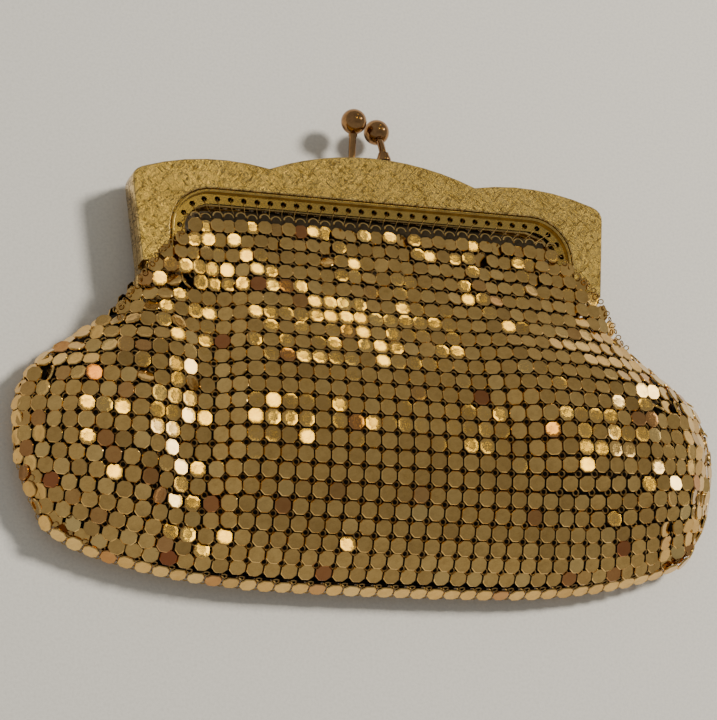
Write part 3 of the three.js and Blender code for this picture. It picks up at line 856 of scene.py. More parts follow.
@dataclass(frozen=True)
class PlateShape:
    """One small eight-sided plate, slightly dished, with a turned-down rim.

    Each dish step gives how far in it starts, as a share of the plate, and its depth, as a share of the dish.
    """

    across: float = 2.9
    corner: float = 0.78
    corner_round: float = 0.11
    thickness: float = 0.34
    rim: float = 0.13
    rim_drop: float = 0.15
    dish: float = 0.022
    dish_steps: tuple[Span, ...] = ((0.17, 1.0), (0.14, 0.4))

    def mesh(self) -> bpy.types.Mesh:
        """Draws the plate.

        Returns:
            Its mesh in millimetres, its face in the plane z = 0 and its normal along z.
        """
        bm = bmesh.new()
        bmesh.ops.create_grid(bm, x_segments=1, y_segments=1, size=self.across / 2)
        for offset in (self.corner, self.corner_round):
            corners = list(bm.verts)
            bmesh.ops.bevel(
                bm, geom=corners, offset=offset, affect="VERTICES", segments=1, profile=0.5, material=-1
            )
        top = bm.faces[:][0]
        bmesh.ops.inset_individual(bm, faces=[top], thickness=self.rim, depth=self.rim_drop)
        for width, depth in self.dish_steps:
            inward, down = self.across * width, self.dish * depth
            bmesh.ops.inset_individual(bm, faces=[top], thickness=inward, depth=-down)
        rims = [edge for edge in bm.edges if edge.is_boundary]
        skirt = bmesh.ops.extrude_edge_only(bm, edges=rims)["geom"]
        low = [v for v in skirt if isinstance(v, bmesh.types.BMVert)]
        bmesh.ops.translate(bm, verts=low, vec=(0, 0, -(self.thickness - self.rim_drop)))
        bmesh.ops.contextual_create(bm, geom=[e for e in bm.edges if e.is_boundary])
        bmesh.ops.translate(bm, verts=bm.verts, vec=(0, 0, -self.rim_drop))
        bmesh.ops.recalc_face_normals(bm, faces=bm.faces)
        return finished_mesh(bm, "plate_shape")


@dataclass(frozen=True)
class RingShape:
    """One small wire ring, or part of one."""

    radius: float = 0.56
    wire: float = 0.14
    around: int = 8
    sides: int = 4
    sweep: float = 360.0

    def mesh(self) -> bpy.types.Mesh:
        """Draws the ring.

        Returns:
            Its mesh in millimetres, lying in the plane z = 0.
        """
        bm = bmesh.new()
        bmesh.ops.create_circle(bm, cap_ends=self.sweep < 360, segments=self.sides, radius=self.wire)
        stand = Matrix.Translation((self.radius, 0, 0)) @ Matrix.Rotation(math.pi / 2, 4, "X")
        bmesh.ops.transform(bm, matrix=stand, verts=bm.verts)
        bmesh.ops.spin(
            bm, geom=bm.verts[:] + bm.edges[:] + bm.faces[:], angle=math.radians(self.sweep),
            steps=self.around, axis=(0, 0, 1), cent=(0, 0, 0), use_merge=self.sweep >= 360,
        )
        bmesh.ops.remove_doubles(bm, verts=bm.verts, dist=1e-4)
        bmesh.ops.recalc_face_normals(bm, faces=bm.faces)
        return finished_mesh(bm, "ring_shape")


def scatter(shape: bpy.types.Mesh, placings: Iterable[Matrix]) -> bmesh.types.BMesh:
    """Joins copies of one small shape.

    Args:
        shape: The shape in millimetres.
        placings: Where each copy goes, in the frame's metres.

    Returns:
        A bmesh with one copy after another.
    """
    bm = bmesh.new()
    for placing in placings:
        copy = shape.copy()
        copy.transform(placing)
        bm.from_mesh(copy)
        bpy.data.meshes.remove(copy)
    return bm


def scatter_plates(name: str, shape: bpy.types.Mesh, seats: list[Seat]) -> bpy.types.Object:
    """Makes a piece of many plates, with each plate's tone and painted red reflection on its vertices.

    Args:
        name: The piece's name.
        shape: One plate.
        seats: Where the plates sit.

    Returns:
        The piece.
    """
    joined = scatter(shape, (seat.matrix() for seat in seats))
    plates = piece(name, joined, PLATE_GOLD, Shading.PLATES)
    # each plate's tone and painted red reflection go onto its vertices
    for label in ("tone", "painted_red_reflection"):
        attribute = plates.data.attributes.new(label, "FLOAT", "POINT")
        values = np.repeat([getattr(seat, label) for seat in seats], len(shape.vertices))
        attribute.data.foreach_set("value", values.astype(np.float32))
    return plates


def rod(bm: bmesh.types.BMesh, points: list[Vector], radius: float, sides: int) -> None:
    """Draws round wire through some points.

    Args:
        bm: Where the wire goes.
        points: Its middle line in metres.
        radius: The wire's radius in millimetres.
        sides: Facets round it.
    """
    ways = [(b - a).normalized() for a, b in zip(points, points[1:])]
    turns = [ways[0], *[(a + b).normalized() for a, b in zip(ways, ways[1:])], ways[-1]]
    start = bmesh.ops.create_circle(bm, cap_ends=False, segments=sides, radius=radius * MM)["verts"]
    to_start = Matrix.Translation(points[0]) @ turns[0].to_track_quat("Z", "Y").to_matrix().to_4x4()
    bmesh.ops.transform(bm, matrix=to_start, verts=start)
    ring = list(dict.fromkeys(edge for vert in start for edge in vert.link_edges))
    faces = list(bmesh.ops.contextual_create(bm, geom=ring)["faces"])
    for k in range(1, len(points)):
        made = bmesh.ops.extrude_edge_only(bm, edges=ring)["geom"]
        verts = [item for item in made if isinstance(item, bmesh.types.BMVert)]
        faces += [item for item in made if isinstance(item, bmesh.types.BMFace)]
        ring = [e for e in made if isinstance(e, bmesh.types.BMEdge) and all(v in verts for v in e.verts)]
        swing = turns[k - 1].rotation_difference(turns[k]).to_matrix().to_4x4()
        move = Matrix.Translation(points[k]) @ swing @ Matrix.Translation(-points[k - 1])
        bmesh.ops.transform(bm, matrix=move, verts=verts)
    faces += bmesh.ops.contextual_create(bm, geom=ring)["faces"]
    bmesh.ops.recalc_face_normals(bm, faces=faces)


# ---- Pouch -----------------------------------------------------------------------------------------


@dataclass(frozen=True)
class Zoned:
    """An amount that grows in the upper mesh, where the mesh gathers at the frame, and in the side lobes."""

    plain: float
    upper: float = 0.0
    gather: float = 0.0
    lobe: float = 0.0

    def at(self, upper: float, gather: float, lobe: float) -> float:
        """The amount at a place that lies so far into each zone, from 0 to 1."""
        return self.plain + self.upper * upper + self.gather * gather + self.lobe * lobe


@dataclass(frozen=True)
class Turning:
    """How likely a plate is to have turned on its slack rings to face the light, by where it sits.

    A zone is the span over which it begins, along x or y, or along their negatives where it falls.
    """

    least: float = 0.02
    more: float = 0.24
    upper_zone: Span = (-20.0, -6.0)
    upper: float = 0.6
    right_zone: Span = (16.0, 28.0)
    flank_middle: float = -37.0
    flank_zone: Span = (-8.0, -4.0)
    flank: float = 1.8
    foot_zone: Span = (46.0, 51.0)
    corner_zone: Span = (-12.0, -4.0)
    corner_calm: float = 0.85

    def share(self, x: float, y: float, lobe: float) -> float:
        """The chance that a plate has turned.

        Args:
            x: How far across it sits.
            y: How far up it sits.
            lobe: How far out in a side lobe it is, from 0 to 1.

        Returns:
            The chance, from 0 to 1.
        """
        right = float(smooth_step(x, *self.right_zone))
        upper = self.upper * float(smooth_step(y, *self.upper_zone)) * (1 - right)
        flank = self.flank * float(smooth_step(-abs(x - self.flank_middle), *self.flank_zone))
        foot = float(smooth_step(-y, *self.foot_zone))
        corner = right * float(smooth_step(y, *self.corner_zone))
        return (self.least + self.more * max(lobe, upper, flank, foot)) * (1 - self.corner_calm * corner)


@dataclass
class MeshPanel:
    """One face of the pouch: plates in rows and columns, joined by rings. Slacks and turns are degrees."""

    side: Side
    surface: PouchSurface
    seed: int
    stands_for: tuple[str, ...]
    viewer: Place = (0.0, 0.0, 0.0)
    lamps: tuple[Vector, ...] = ()
    plate: PlateShape = PlateShape()
    ring: RingShape = RingShape()
    ring_drop: float = 0.5
    upper_zone: Span = (-24.0, -8.0)
    gather_zone: Span = (-8.0, 10.0)
    lobe_middle: float = 3.0
    lobe_zone: Span = (30.0, 52.0)
    slack: Zoned = Zoned(1.5, upper=2.0, gather=2.2, lobe=4.0)
    back_slack: float = 0.3
    loose_share: Zoned = Zoned(0.03, gather=0.10, lobe=0.14)
    loose_times: float = 2.4
    turning: Turning = Turning()
    turned_slack: float = 1.2
    most_turn: float = 28.0
    tone: float = 0.45
    tone_spread: Zoned = Zoned(0.12, lobe=0.08)
    # how often and how strongly a red reflection is painted on a plate
    painted_red_reflection_share: Zoned = Zoned(0.03, lobe=0.09)
    most_painted_red_reflection: float = 0.85
    gather_shrink: float = 0.07
    gather_lift: float = 0.22

    def unsettle(self, seats: list[Seat]) -> None:
        """Tilts and tints each plate a little, as wear and slack rings do, and paints a red reflection on a
        few.

        Args:
            seats: The seats, which are changed.
        """
        draw = np.random.default_rng(self.seed)
        calm = self.back_slack if self.side is Side.BACK else 1.0
        for seat in seats:
            x, y = seat.place.x, seat.place.y
            gather = float(smooth_step(y, *self.gather_zone))
            lobe = float(smooth_step(abs(x - self.lobe_middle), *self.lobe_zone))
            zones = (float(smooth_step(y, *self.upper_zone)), gather, lobe)
            loose = draw.random() < self.loose_share.at(*zones)
            spread = math.radians(self.slack.at(*zones) * calm * (self.loose_times if loose else 1.0))
            facing = self.nearest_facing(seat)
            if draw.random() < self.turning.share(x, y, lobe) and facing is not None:
                seat.out = facing
                spread = math.radians(self.turned_slack)
            seat.tilt = (float(draw.normal(0, spread)), float(draw.normal(0, spread)))
            seat.size = 1.0 - self.gather_shrink * gather
            seat.tone = float(np.clip(draw.normal(self.tone, self.tone_spread.at(*zones)), 0, 1))
            # a few plates get a painted red reflection
            gets_red_reflection = draw.random() < self.painted_red_reflection_share.at(*zones)
            seat.painted_red_reflection = self.most_painted_red_reflection * float(draw.random()) if gets_red_reflection else 0.0
            lift = self.gather_lift * gather * (1 if seat.column % 2 else -1)
            seat.place = seat.place + seat.out * lift

    def nearest_facing(self, seat: Seat) -> Vector | None:
        """The way for a plate to face that mirrors a lamp to the viewer.

        Args:
            seat: The plate's seat.

        Returns:
            The unit normal nearest to the plate's own, or None where no lamp is within its reach.
        """
        seen = (Vector(self.viewer) - seat.place).normalized()
        facings = [(seen + (lamp - seat.place).normalized()).normalized() for lamp in self.lamps]
        near = [facing for facing in facings if seat.out.angle(facing) < math.radians(self.most_turn)]
        return min(near, key=seat.out.angle, default=None)

    def joins(self, rows: list[list[Seat]]) -> list[Matrix]:
        """The placings of the rings, one in each gap between four plates.

        Args:
            rows: The seats.

        Returns:
            One matrix for each ring.
        """
        placings = []
        for upper, lower in zip(rows, rows[1:]):
            above = {seat.column: seat for seat in upper}
            below = {seat.column: seat for seat in lower}
            for column in sorted(set(above) & set(below)):
                if column + 1 not in above or column + 1 not in below:
                    continue
                four = [above[column], above[column + 1], below[column], below[column + 1]]
                place = sum((seat.place for seat in four), Vector()) / 4
                out = sum((seat.out for seat in four), Vector()).normalized()
                across = (four[1].place - four[0].place).normalized()
                placings.append(Seat(place, out, across).matrix(self.ring_drop))
        return placings

    def build(self) -> list[Seat]:
        """Makes the plates and the rings.

        Returns:
            The seats of the first row, which is laced to the frame.
        """
        rows = Lattice(self.surface, self.side).seats()
        seats = [seat for row in rows for seat in row]
        self.unsettle(seats)
        plates = scatter_plates(f"{self.side.label}_plates", self.plate.mesh(), seats)
        rings = scatter(self.ring.mesh(), self.joins(rows))
        links = piece(f"{self.side.label}_links", rings, LINK_GOLD, Shading.ROUND)
        body = None if self.side is Side.FRONT else Body.POUCH
        declare(plates, body, self.stands_for)
        declare(links, body)
        log.info("%s mesh: %d plates in %d rows", self.side.label, len(seats), len(rows))
        return rows[0]


@dataclass
class SeamBand:
    """The plates that fold round the pouch's edge, from one shoulder round the bottom to the other."""

    plate: PlateShape = PlateShape()
    ring: RingShape = RingShape()
    ring_rise: float = 1.25
    ring_drop: float = 0.5
    height: float = 5.0
    pitch: float = 3.12
    lean: float = 23.0
    seed: int = 5
    shoulder: tuple[Span, ...] = ((50.2, -6.6), (56.7, -11.1), (63.1, -16.2))
    flank: tuple[Span, ...] = ((65.9, -22.0), (66.2, -28.5), (65.0, -36.0), (62.5, -42.0))
    foot: tuple[Span, ...] = (
        (60.1, -45.8), (55.2, -48.3), (50.2, -49.9), (43.2, -51.6), (36.0, -52.8), (27.0, -53.7),
        (14.0, -54.1),
    )
    lowest: float = -54.2
    samples: int = 1200
    corner_zone: Span = (44.0, 60.0)
    corner_wave: Span = (0.5, 1.7)
    slack: Span = (2.0, 5.0)
    tone: Span = (0.5, 0.14)
    # a painted red reflection on a few of the fold's plates
    painted_red_reflection: float = 0.5
    painted_red_reflection_share: float = 0.06

    def outline(self) -> Array:
        """The fold's middle line.

        Returns:
            Many points along it, from the right shoulder to the left.
        """
        half = [*self.shoulder, *self.flank, *self.foot]
        points = np.array([*half, (0.0, self.lowest), *[(-x, y) for x, y in reversed(half)]])
        lengths = lengths_along(points)
        fine = np.linspace(0, lengths[-1], self.samples)
        columns = [Profile(tuple(zip(lengths.tolist(), values.tolist()))).at(fine) for values in points.T]
        return np.stack(columns, axis=1)

    def seats(self) -> list[Seat]:
        """Spaces the plates along the fold.

        Returns:
            One seat for each plate.
        """
        line = self.outline()
        lengths = lengths_along(line)
        count = int(lengths[-1] / self.pitch)
        draw = np.random.default_rng(self.seed)
        seats = []
        for number, where in enumerate(np.linspace(self.pitch / 2, lengths[-1] - self.pitch / 2, count)):
            x, y = point_along(line, lengths, where)
            ahead = point_along(line, lengths, where + 1) - point_along(line, lengths, where - 1)
            along = Vector((-ahead.x, -ahead.y, 0)).normalized()
            out = Vector((along.y, -along.x, 0))
            facing = (out + Vector((0, 0, math.tan(math.radians(self.lean))))).normalized()
            corner = float(smooth_step(abs(x), *self.corner_zone))
            rise = self.height + self.corner_wave[0] * corner * math.sin(number * self.corner_wave[1])
            tilt = math.radians(self.slack[0] + self.slack[1] * corner)
            seat = Seat(Vector((x, y, rise)), facing, along)
            seat.tilt = (float(draw.normal(0, tilt)), float(draw.normal(0, tilt)))
            seat.tone = float(np.clip(draw.normal(*self.tone), 0, 1))
            seat.painted_red_reflection = self.painted_red_reflection * float(draw.random() < self.painted_red_reflection_share)
            seats.append(seat)
        return seats

    def build(self) -> None:
        """Makes the fold's plates and the two rows of rings behind them."""
        seats = self.seats()
        plates = scatter_plates("seam_plates", self.plate.mesh(), seats)
        between = []
        for first, second in zip(seats, seats[1:]):
            out = (first.out + second.out).normalized()
            up = Vector((0, 0, 1)) - out * out.z
            for rise in (self.ring_rise, -self.ring_rise):
                place = (first.place + second.place) / 2 + up * rise
                between.append(Seat(place, out, first.across).matrix(self.ring_drop))
        links = piece("seam_rings", scatter(self.ring.mesh(), between), LINK_GOLD, Shading.ROUND)
        declare(plates, Body.POUCH, ("seam_links_left", "seam_links_right", "seam_links_bottom"))
        declare(links, Body.POUCH)
        log.info("seam: %d plates round the fold", len(seats))


@dataclass
class ShoulderEdge:
    """The chain of small rings along the mesh's free edge over one of the frame's legs."""

    surface: PouchSurface
    ring: RingShape = RingShape(radius=0.46, wire=0.11, around=10, sides=5)
    spacing: float = 1.25
    reach: float = 0.975
    rise: float = 0.35
    leans: Span = (-0.5, 0.8)
    lean_up: float = 0.1
    top: float = 0.02
    bottom: float = 0.30
    samples: int = 200

    def build(self, way: int) -> None:
        """Makes one chain.

        Args:
            way: 1 for the right edge, -1 for the left.
        """
        t = np.linspace(self.top, self.bottom, self.samples)
        line = self.surface.place(Side.FRONT, np.full_like(t, way * self.reach), t)
        lengths = lengths_along(line)
        placings = []
        for number, where in enumerate(np.arange(0, lengths[-1], self.spacing)):
            place = point_along(line, lengths, where)
            ahead = (point_along(line, lengths, where + 0.5) - place).normalized()
            leaning = Vector((way * self.leans[number % 2], self.lean_up, 1.0)).normalized()
            placings.append(Seat(place + Vector((0, 0, self.rise)), leaning, ahead).matrix())
        name = "right" if way > 0 else "left"
        chain = scatter(self.ring.mesh(), placings)
        made = piece(f"shoulder_rings_{name}", chain, LINK_GOLD, Shading.ROUND)
        declare(made, None)
        log.info("%s shoulder: %d rings", name, len(placings))


@dataclass
class Lining:
    """One face's lining: a sheet of satin that hangs just under the plates."""

    side: Side
    surface: PouchSurface
    gap: float
    stands_for: tuple[str, ...]
    sink: float = 0.8
    sink_from: float = 0.03
    thickness: float = 0.22
    flat: Span = (0.136, 0.074)
    top: float = -0.062
    bottom: float = 1.018
    across: int = 110
    down: int = 70
    margin: float = 0.992
    reach: Profile = Profile((
        (-54.0, 66.0), (-9.0, 66.0), (-5.0, 46.0), (-1.5, 38.0), (2.0, 34.8), (16.0, 34.4),
    ))

    def hang(self, shares: Array) -> Array:
        """Hangs the sheet under the plates, narrowed where it goes into the frame.

        Args:
            shares: Places on the flat sheet, from -1 to 1 across and up.

        Returns:
            Their places in the bag, in millimetres from the hinge.
        """
        t = self.top + (self.bottom - self.top) * (1 - shares[:, 1]) / 2
        end = self.surface.plan(0 * t, t)[3]
        u = np.sin(shares[:, 0] * math.pi / 2) * self.margin
        u = u * np.minimum(1, self.reach.at(end) / self.surface.half_width.at(end))
        out, _ = self.surface.normal(self.side, u, t)
        under = self.gap + self.sink * smooth_step(t, self.sink_from, self.top)
        return self.surface.place(self.side, u, t) - out * under[:, None]

    def build(self) -> None:
        bm = bmesh.new()
        bmesh.ops.create_grid(bm, x_segments=self.across, y_segments=self.down, size=1.0)
        for vert, place in zip(bm.verts, self.hang(np.array([vert.co[:2] for vert in bm.verts]))):
            vert.co = at(*place)
        bmesh.ops.recalc_face_normals(bm, faces=bm.faces)
        made = piece(f"{self.side.label}_lining", bm, SATIN, Shading.CLOTH)
        solidify = made.modifiers.new("cloth", "SOLIDIFY")
        solidify.thickness = self.thickness * MM
        solidify.offset = 0
        declare(made, None if self.side is Side.FRONT else Body.POUCH, self.stands_for)


# ---- Frame -----------------------------------------------------------------------------------------


def cad_copy(node: str) -> bmesh.types.BMesh:
    """Copies a CAD node's shape.

    Args:
        node: The node's name.

    Returns:
        Its loose triangles, merged into whole faces.
    """
    bm = bmesh.new()
    bm.from_mesh(frame["nodes"][node].data)
    bmesh.ops.remove_doubles(bm, verts=bm.verts, dist=MERGE_WITHIN)
    bmesh.ops.dissolve_limit(bm, angle_limit=FLAT_WITHIN, verts=bm.verts, edges=bm.edges)
    return bm


def soften(bm: bmesh.types.BMesh, radius: float, segments: int, chosen: EdgeTest | None = None) -> None:
    """Rounds the sharp edges.

    Args:
        bm: The shape.
        radius: The rounding in millimetres.
        segments: Facets across it.
        chosen: Tells whether an edge is rounded, where not all are.
    """
    inner = [edge for edge in bm.edges if len(edge.link_faces) == 2]
    sharp = [edge for edge in inner if edge.calc_face_angle(0) > SHARP]
    edges = [edge for edge in sharp if chosen is None or chosen(edge)]
    bmesh.ops.bevel(
        bm, geom=edges, offset=radius * MM, offset_type="OFFSET", affect="EDGES", segments=segments,
        profile=0.5, material=-1, clamp_overlap=True,
    )


@dataclass
class FrameHalf:
    """One stamped frame half with its perforated stitching bow and the wire behind it."""

    side: Side
    face: float = 9.0
    rounding: float = 0.28
    bead_rounding: float = 0.2
    flat: float = 0.999

    def at_face(self, edge: bmesh.types.BMEdge) -> bool:
        """Whether an edge lies in the half's outer face."""
        height = self.side.height(self.face) * MM
        return all(abs(vert.co.z - height) < 0.02 * MM for vert in edge.verts)

    def build(self) -> None:
        """Makes the pressed plate and the bow, and dresses the wire."""
        for part, rounding, finish, slot in (
            ("frame_plate", self.rounding, FRAME_GOLD, "frame_gold"),
            ("stitching_bow", self.bead_rounding, BOW_GOLD, "bow_gold"),
        ):
            node = f"{self.side.label}_{part}"
            bm = cad_copy(node)
            soften(bm, rounding, 3, self.at_face)
            made = piece(f"{node}_pressed", bm, finish, Shading.PRESSED)
            for polygon in made.data.polygons:
                polygon.use_smooth = abs(polygon.normal.z) < self.flat
            declare(made, self.side.frame_body, (node,))
        wire = frame["nodes"][f"{self.side.label}_retaining_wire"]
        wire.data.materials.clear()
        wire.data.materials.append(WIRE_GOLD.material())
        log.info("%s frame half: plate, bow and wire", self.side.label)


@dataclass
class Lacing:
    """Wire loops from the bow's holes over the open slot to the first row of plates."""

    side: Side
    first_row: list[Seat]
    hole_pitch: float = 2.5
    hole_line: float = 16.3
    turn_radius: float = 6.2
    half_width: float = 37.2
    rim: float = 8.25
    rim_over: float = 0.28
    rim_under: float = 0.9
    bend_at: float = 0.28
    bend_slip: float = 0.05
    sag: float = 0.1
    slant: float = -1.3
    above_plate: float = 2.1
    wire: float = 0.065
    loops: int = 17
    arch: RingShape = RingShape(radius=0.95, wire=0.15, around=8, sides=5, sweep=180)
    arch_above_plate: float = 1.55
    arch_rise: float = 0.05

    def hole(self, number: int) -> Span:
        """Where a hole's centre is, along the straight, round the bow's turn and down its leg.

        Args:
            number: The hole's number, counted from the middle.

        Returns:
            x and y of the centre.
        """
        length = abs(number) * self.hole_pitch
        straight = self.half_width - self.turn_radius
        if length <= straight:
            return math.copysign(length, number), self.hole_line
        turn = min((length - straight) / self.turn_radius, math.pi / 2)
        past = length - straight - turn * self.turn_radius
        x = straight + self.turn_radius * math.sin(turn)
        y = self.hole_line - self.turn_radius * (1 - math.cos(turn)) - past
        return math.copysign(x, number), y

    def loop(self, number: int, seat: Seat) -> list[Vector]:
        """The middle line of one loop: out of its hole, over the bow's rim and down to its plate.

        Args:
            number: The hole's number.
            seat: The plate's seat.

        Returns:
            Its points in metres.
        """
        x, y = self.hole(number)
        end = Vector((seat.place.x + self.slant, seat.place.y + self.above_plate, 0))
        bend = Vector((x, y, 0)).lerp(end, self.bend_at)
        heights = (self.rim - self.rim_under, self.rim, self.rim + self.rim_over)
        low, rim, over = (self.side.height(height) for height in heights)
        sag = self.side.value * self.sag
        return [
            at(x, y, low), at(x, y, rim), at(bend.x - self.bend_slip, bend.y, over),
            at((bend.x + end.x) / 2, (bend.y + end.y) / 2, over - sag), at(end.x, end.y, seat.place.z - sag),
        ]

    def build(self) -> None:
        """Makes the loops and the small arched rings that hold the plates."""
        bm = bmesh.new()
        arches = []
        seats = {seat.column: seat for seat in self.first_row}
        for number in range(-self.loops, self.loops + 1):
            seat = seats[max(min(number, max(seats)), min(seats))]
            rod(bm, self.loop(number, seat), self.wire, 6)
            if abs(number) <= max(seats):
                place = seat.place + Vector((0, self.arch_above_plate, 0))
                arches.append(Seat(place, seat.out, Vector((1, 0, 0))).matrix(-self.arch_rise))
        loops = piece(f"{self.side.label}_lacing", bm, LINK_GOLD, Shading.ROUND)
        rings = scatter(self.arch.mesh(), arches)
        arched = piece(f"{self.side.label}_top_rings", rings, WIRE_GOLD, Shading.ROUND)
        for made in (loops, arched):
            declare(made, self.side.frame_body)
        log.info("%s lacing: %d loops", self.side.label, 2 * self.loops + 1)


@dataclass
class Clasp:
    """The two ball finials, with their bent stems and collars."""

    ball_facets: tuple[int, int] = (40, 24)
    neck_radius: float = 0.84
    neck: Span = (-0.3, 0.5)
    stem_sides: int = 8
    collar_rounding: float = 0.1

    def stem_tip(self, side: Side, centre: Vector) -> Vector:
        """The middle of the end of a stem that faces its ball.

        Args:
            side: The frame half that the stem grows from.
            centre: The ball's centre.

        Returns:
            The tip's place in metres.
        """
        bm = cad_copy(f"{side.label}_finial_stem")
        near = sorted((vert.co.copy() for vert in bm.verts), key=lambda place: (place - centre).length)
        bm.free()
        return sum(near[: self.stem_sides], Vector()) / self.stem_sides

    def ball(self, side: Side) -> bmesh.types.BMesh:
        """Draws one ball with the short neck that joins it to its stem.

        Args:
            side: The frame half that it belongs to.

        Returns:
            Its shape in metres.
        """
        low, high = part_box(f"{side.label}_finial_ball")
        around, up = self.ball_facets
        bm = bmesh.new()
        bmesh.ops.create_uvsphere(bm, u_segments=around, v_segments=up, radius=(high.y - low.y) / 2)
        centre = (low + high) / 2
        bmesh.ops.translate(bm, verts=bm.verts, vec=centre)
        tip = self.stem_tip(side, centre)
        inward = (centre - tip).normalized() * MM
        rod(bm, [tip + inward * length for length in self.neck], self.neck_radius, 16)
        return bm

    def build(self) -> None:
        """Makes smooth balls, stems and collars in the places of the plain ones."""
        for side in Side:
            made = piece(f"{side.label}_ball", self.ball(side), CLASP_GOLD, Shading.ROUND)
            declare(made, side.frame_body, (f"{side.label}_finial_ball",))
            for part in ("finial_stem", "finial_collar"):
                node = f"{side.label}_{part}"
                bm = cad_copy(node)
                if part == "finial_collar":
                    soften(bm, self.collar_rounding, 2)
                made = piece(f"{node}_smooth", bm, CLASP_GOLD, Shading.STEM)
                declare(made, side.frame_body, (node,))
        log.info("clasp: two balls on bent stems")


@dataclass
class Hinge:
    """The two rivets that the frame turns on."""

    rounding: float = 0.18

    def build(self) -> None:
        """Makes both rivets with rounded heads."""
        for hand in ("left", "right"):
            bm = cad_copy(f"hinge_rivet_{hand}")
            soften(bm, self.rounding, 2)
            made = piece(f"rivet_{hand}", bm, WIRE_GOLD, Shading.RIVET)
            declare(made, Body.POUCH, (f"hinge_rivet_{hand}",))
        log.info("hinge: two rivets")


# ---- Studio ----------------------------------------------------------------------------------------


class Lights(Enum):
    """What a lamp lights: what is matt, with its shadows, or what mirrors it."""

    FLOOR = "floor"
    METAL = "metal"


@dataclass(frozen=True)
class Lamp:
    """A round lamp aimed at the bag, with its size and distance in metres and its power in watts."""

    name: str
    direction: Place
    size: float
    power: float
    tint: Colour
    lights: Lights
    distance: float = 1.2

    def place(self) -> Vector:
        """Where the lamp hangs, in metres."""
        return Vector(self.direction).normalized() * self.distance

    def build(self) -> None:
        """Hangs the lamp."""
        light = bpy.data.lights.new(self.name, "AREA")
        light.shape = "DISK"
        light.size = self.size
        light.energy = self.power
        light.color = self.tint
        lamp = bpy.data.objects.new(self.name, light)
        lamp.location = self.place()
        lamp.rotation_euler = self.place().to_track_quat("Z", "Y").to_euler()
        lamp.visible_glossy = self.lights is Lights.METAL
        lamp.visible_diffuse = self.lights is Lights.FLOOR
        bpy.context.scene.collection.objects.link(lamp)


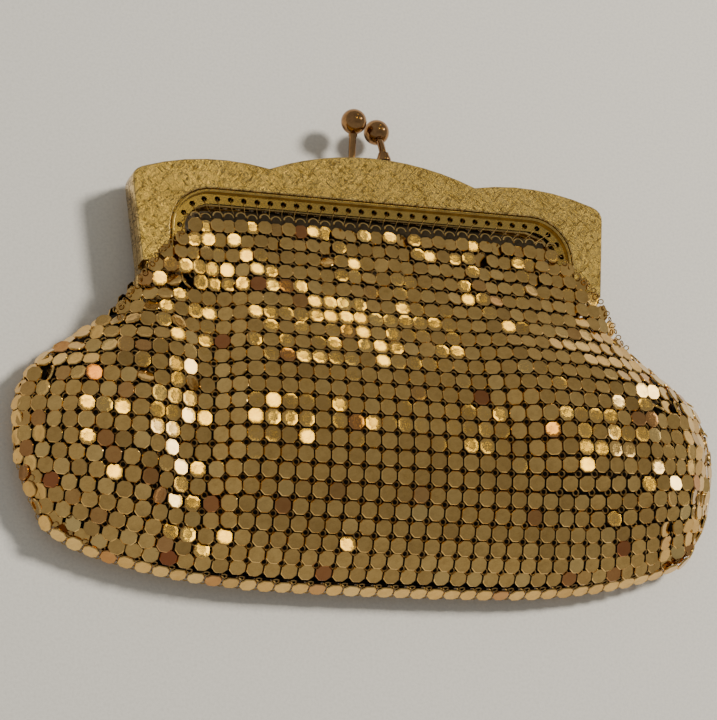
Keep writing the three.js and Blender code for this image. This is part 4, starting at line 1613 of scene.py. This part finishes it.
@dataclass
class Studio:
    """The pale floor, the lights and the camera. The target and distance are millimetres, angles degrees.

    The room is dim overhead in a band along the bag's height, and brighter beside it and low down.
    """

    target: Place = (-1.235, -9.489, 0.0)
    azimuth: float = -47.501
    elevation: float = 63.119
    roll: float = 48.218
    distance: float = 490.17
    lens: float = 133.94
    sensor: float = 36.0
    lamps: tuple[Lamp, ...] = (
        Lamp("key", (0.60, 0.29, 0.745), 0.24, 17.0, (1.0, 0.96, 0.90), Lights.FLOOR),
        Lamp("warm_lamp", (0.60, 0.29, 0.745), 0.28, 1.2, (1.0, 0.84, 0.16), Lights.METAL),
        Lamp("upper_lamp", (0.333, 0.761, 0.557), 0.11, 0.17, (1.0, 0.84, 0.16), Lights.METAL),
        Lamp("left_lamp", (0.149, 0.305, 0.941), 0.17, 0.42, (1.0, 0.84, 0.18), Lights.METAL),
        Lamp("white_lamp", (0.76, 0.305, 0.573), 0.24, 0.9, (1.0, 1.0, 0.92), Lights.METAL),
    )
    dim_middle: float = 0.33
    dim_half_width: Span = (0.22, 0.80)
    dim_height: Span = (0.50, 0.15)
    window_edge: Span = (-0.40, -0.56)
    dim_light: Colour = (0.27, 0.27, 0.265)
    bright_light: Colour = (0.38, 0.38, 0.37)
    floor_size: float = 1.5

    def floor(self) -> None:
        """Makes the floor."""
        bm = bmesh.new()
        bmesh.ops.create_grid(bm, x_segments=1, y_segments=1, size=self.floor_size)
        piece("floor", bm, PAPER, Shading.PAPER)

    def sky(self) -> None:
        """Makes the room's light."""
        world = bpy.data.worlds.new("room")
        bpy.context.scene.world = world
        world.use_nodes = True
        world.node_tree.nodes.clear()
        bench = Bench(world.node_tree)
        x, y, z = bench.add("SeparateXYZ", None, i0=bench.add("TexCoord").outputs["Generated"]).outputs
        aside = bench.math("ABSOLUTE", bench.math("SUBTRACT", x, self.dim_middle))
        beside = bench.span(aside, *self.dim_half_width)
        low = bench.span(z, *self.dim_height)
        window = bench.span(y, *self.window_edge)
        light = bench.math("MAXIMUM", bench.math("MAXIMUM", beside, low), window)
        colour = bench.mix(light, rgba(self.dim_light), rgba(self.bright_light))
        shade = bench.add("Background", None, Color=colour, Strength=1.0)
        bench.add("OutputWorld", None, Surface=shade.outputs[0])

    def backward(self) -> Vector:
        """The unit way from the bag to the camera."""
        a, e = math.radians(self.azimuth), math.radians(self.elevation)
        return Vector((math.sin(a) * math.cos(e), -math.cos(a) * math.cos(e), math.sin(e)))

    def viewpoint(self) -> Place:
        """Where the camera stands, in millimetres from the hinge."""
        return tuple(Vector(self.target) + self.backward() * self.distance)

    def mirrored(self) -> tuple[Vector, ...]:
        """Where the lamps hang that metal mirrors, in millimetres from the hinge."""
        hinge = Vector((0.0, HINGE_Y, 0.0))
        return tuple(lamp.place() / MM - hinge for lamp in self.lamps if lamp.lights is Lights.METAL)

    def camera(self) -> None:
        """Makes the camera and gives it to the scene."""
        r = math.radians(self.roll)
        back = self.backward()
        level = Vector((0, 0, 1)).cross(back).normalized()
        upright = back.cross(level)
        right = math.cos(r) * level + math.sin(r) * upright
        up = -math.sin(r) * level + math.cos(r) * upright
        camera = bpy.data.objects.new("camera", bpy.data.cameras.new("camera"))
        stand = Matrix.Translation(at(*self.target) + back * self.distance * MM)
        camera.matrix_world = stand @ Matrix((right, up, back)).transposed().to_4x4()
        camera.data.lens = self.lens
        camera.data.sensor_width = self.sensor
        bpy.context.scene.collection.objects.link(camera)
        bpy.context.scene.camera = camera

    def build(self) -> None:
        """Sets up everything round the bag."""
        self.camera()
        self.floor()
        self.sky()
        for lamp in self.lamps:
            lamp.build()
        log.info("studio: floor, room light, %d lamps and camera", len(self.lamps))


def main() -> None:
    """Builds the bag piece by piece."""
    logging.basicConfig(level=logging.INFO, format="%(name)s: %(message)s")
    studio = Studio()
    studio.build()
    surface = PouchSurface()
    for side in Side:
        FrameHalf(side).build()
    Clasp().build()
    Hinge().build()
    front_stretches = ("panel", "upper", "bend")
    front = MeshPanel(
        Side.FRONT, surface, 11, tuple(f"mesh_front_{part}" for part in front_stretches),
        viewer=studio.viewpoint(), lamps=studio.mirrored(),
    ).build()
    back = MeshPanel(Side.BACK, surface, 23, ("mesh_back_panel",)).build()
    SeamBand().build()
    for way in (-1, 1):
        ShoulderEdge(surface).build(way)
    Lining(Side.FRONT, surface, 1.15, tuple(f"lining_front_{part}" for part in front_stretches)).build()
    Lining(Side.BACK, surface, 0.9, ("lining_back_panel",)).build()
    Lacing(Side.FRONT, front).build()
    Lacing(Side.BACK, back).build()


if __name__ == "__main__":
    main()
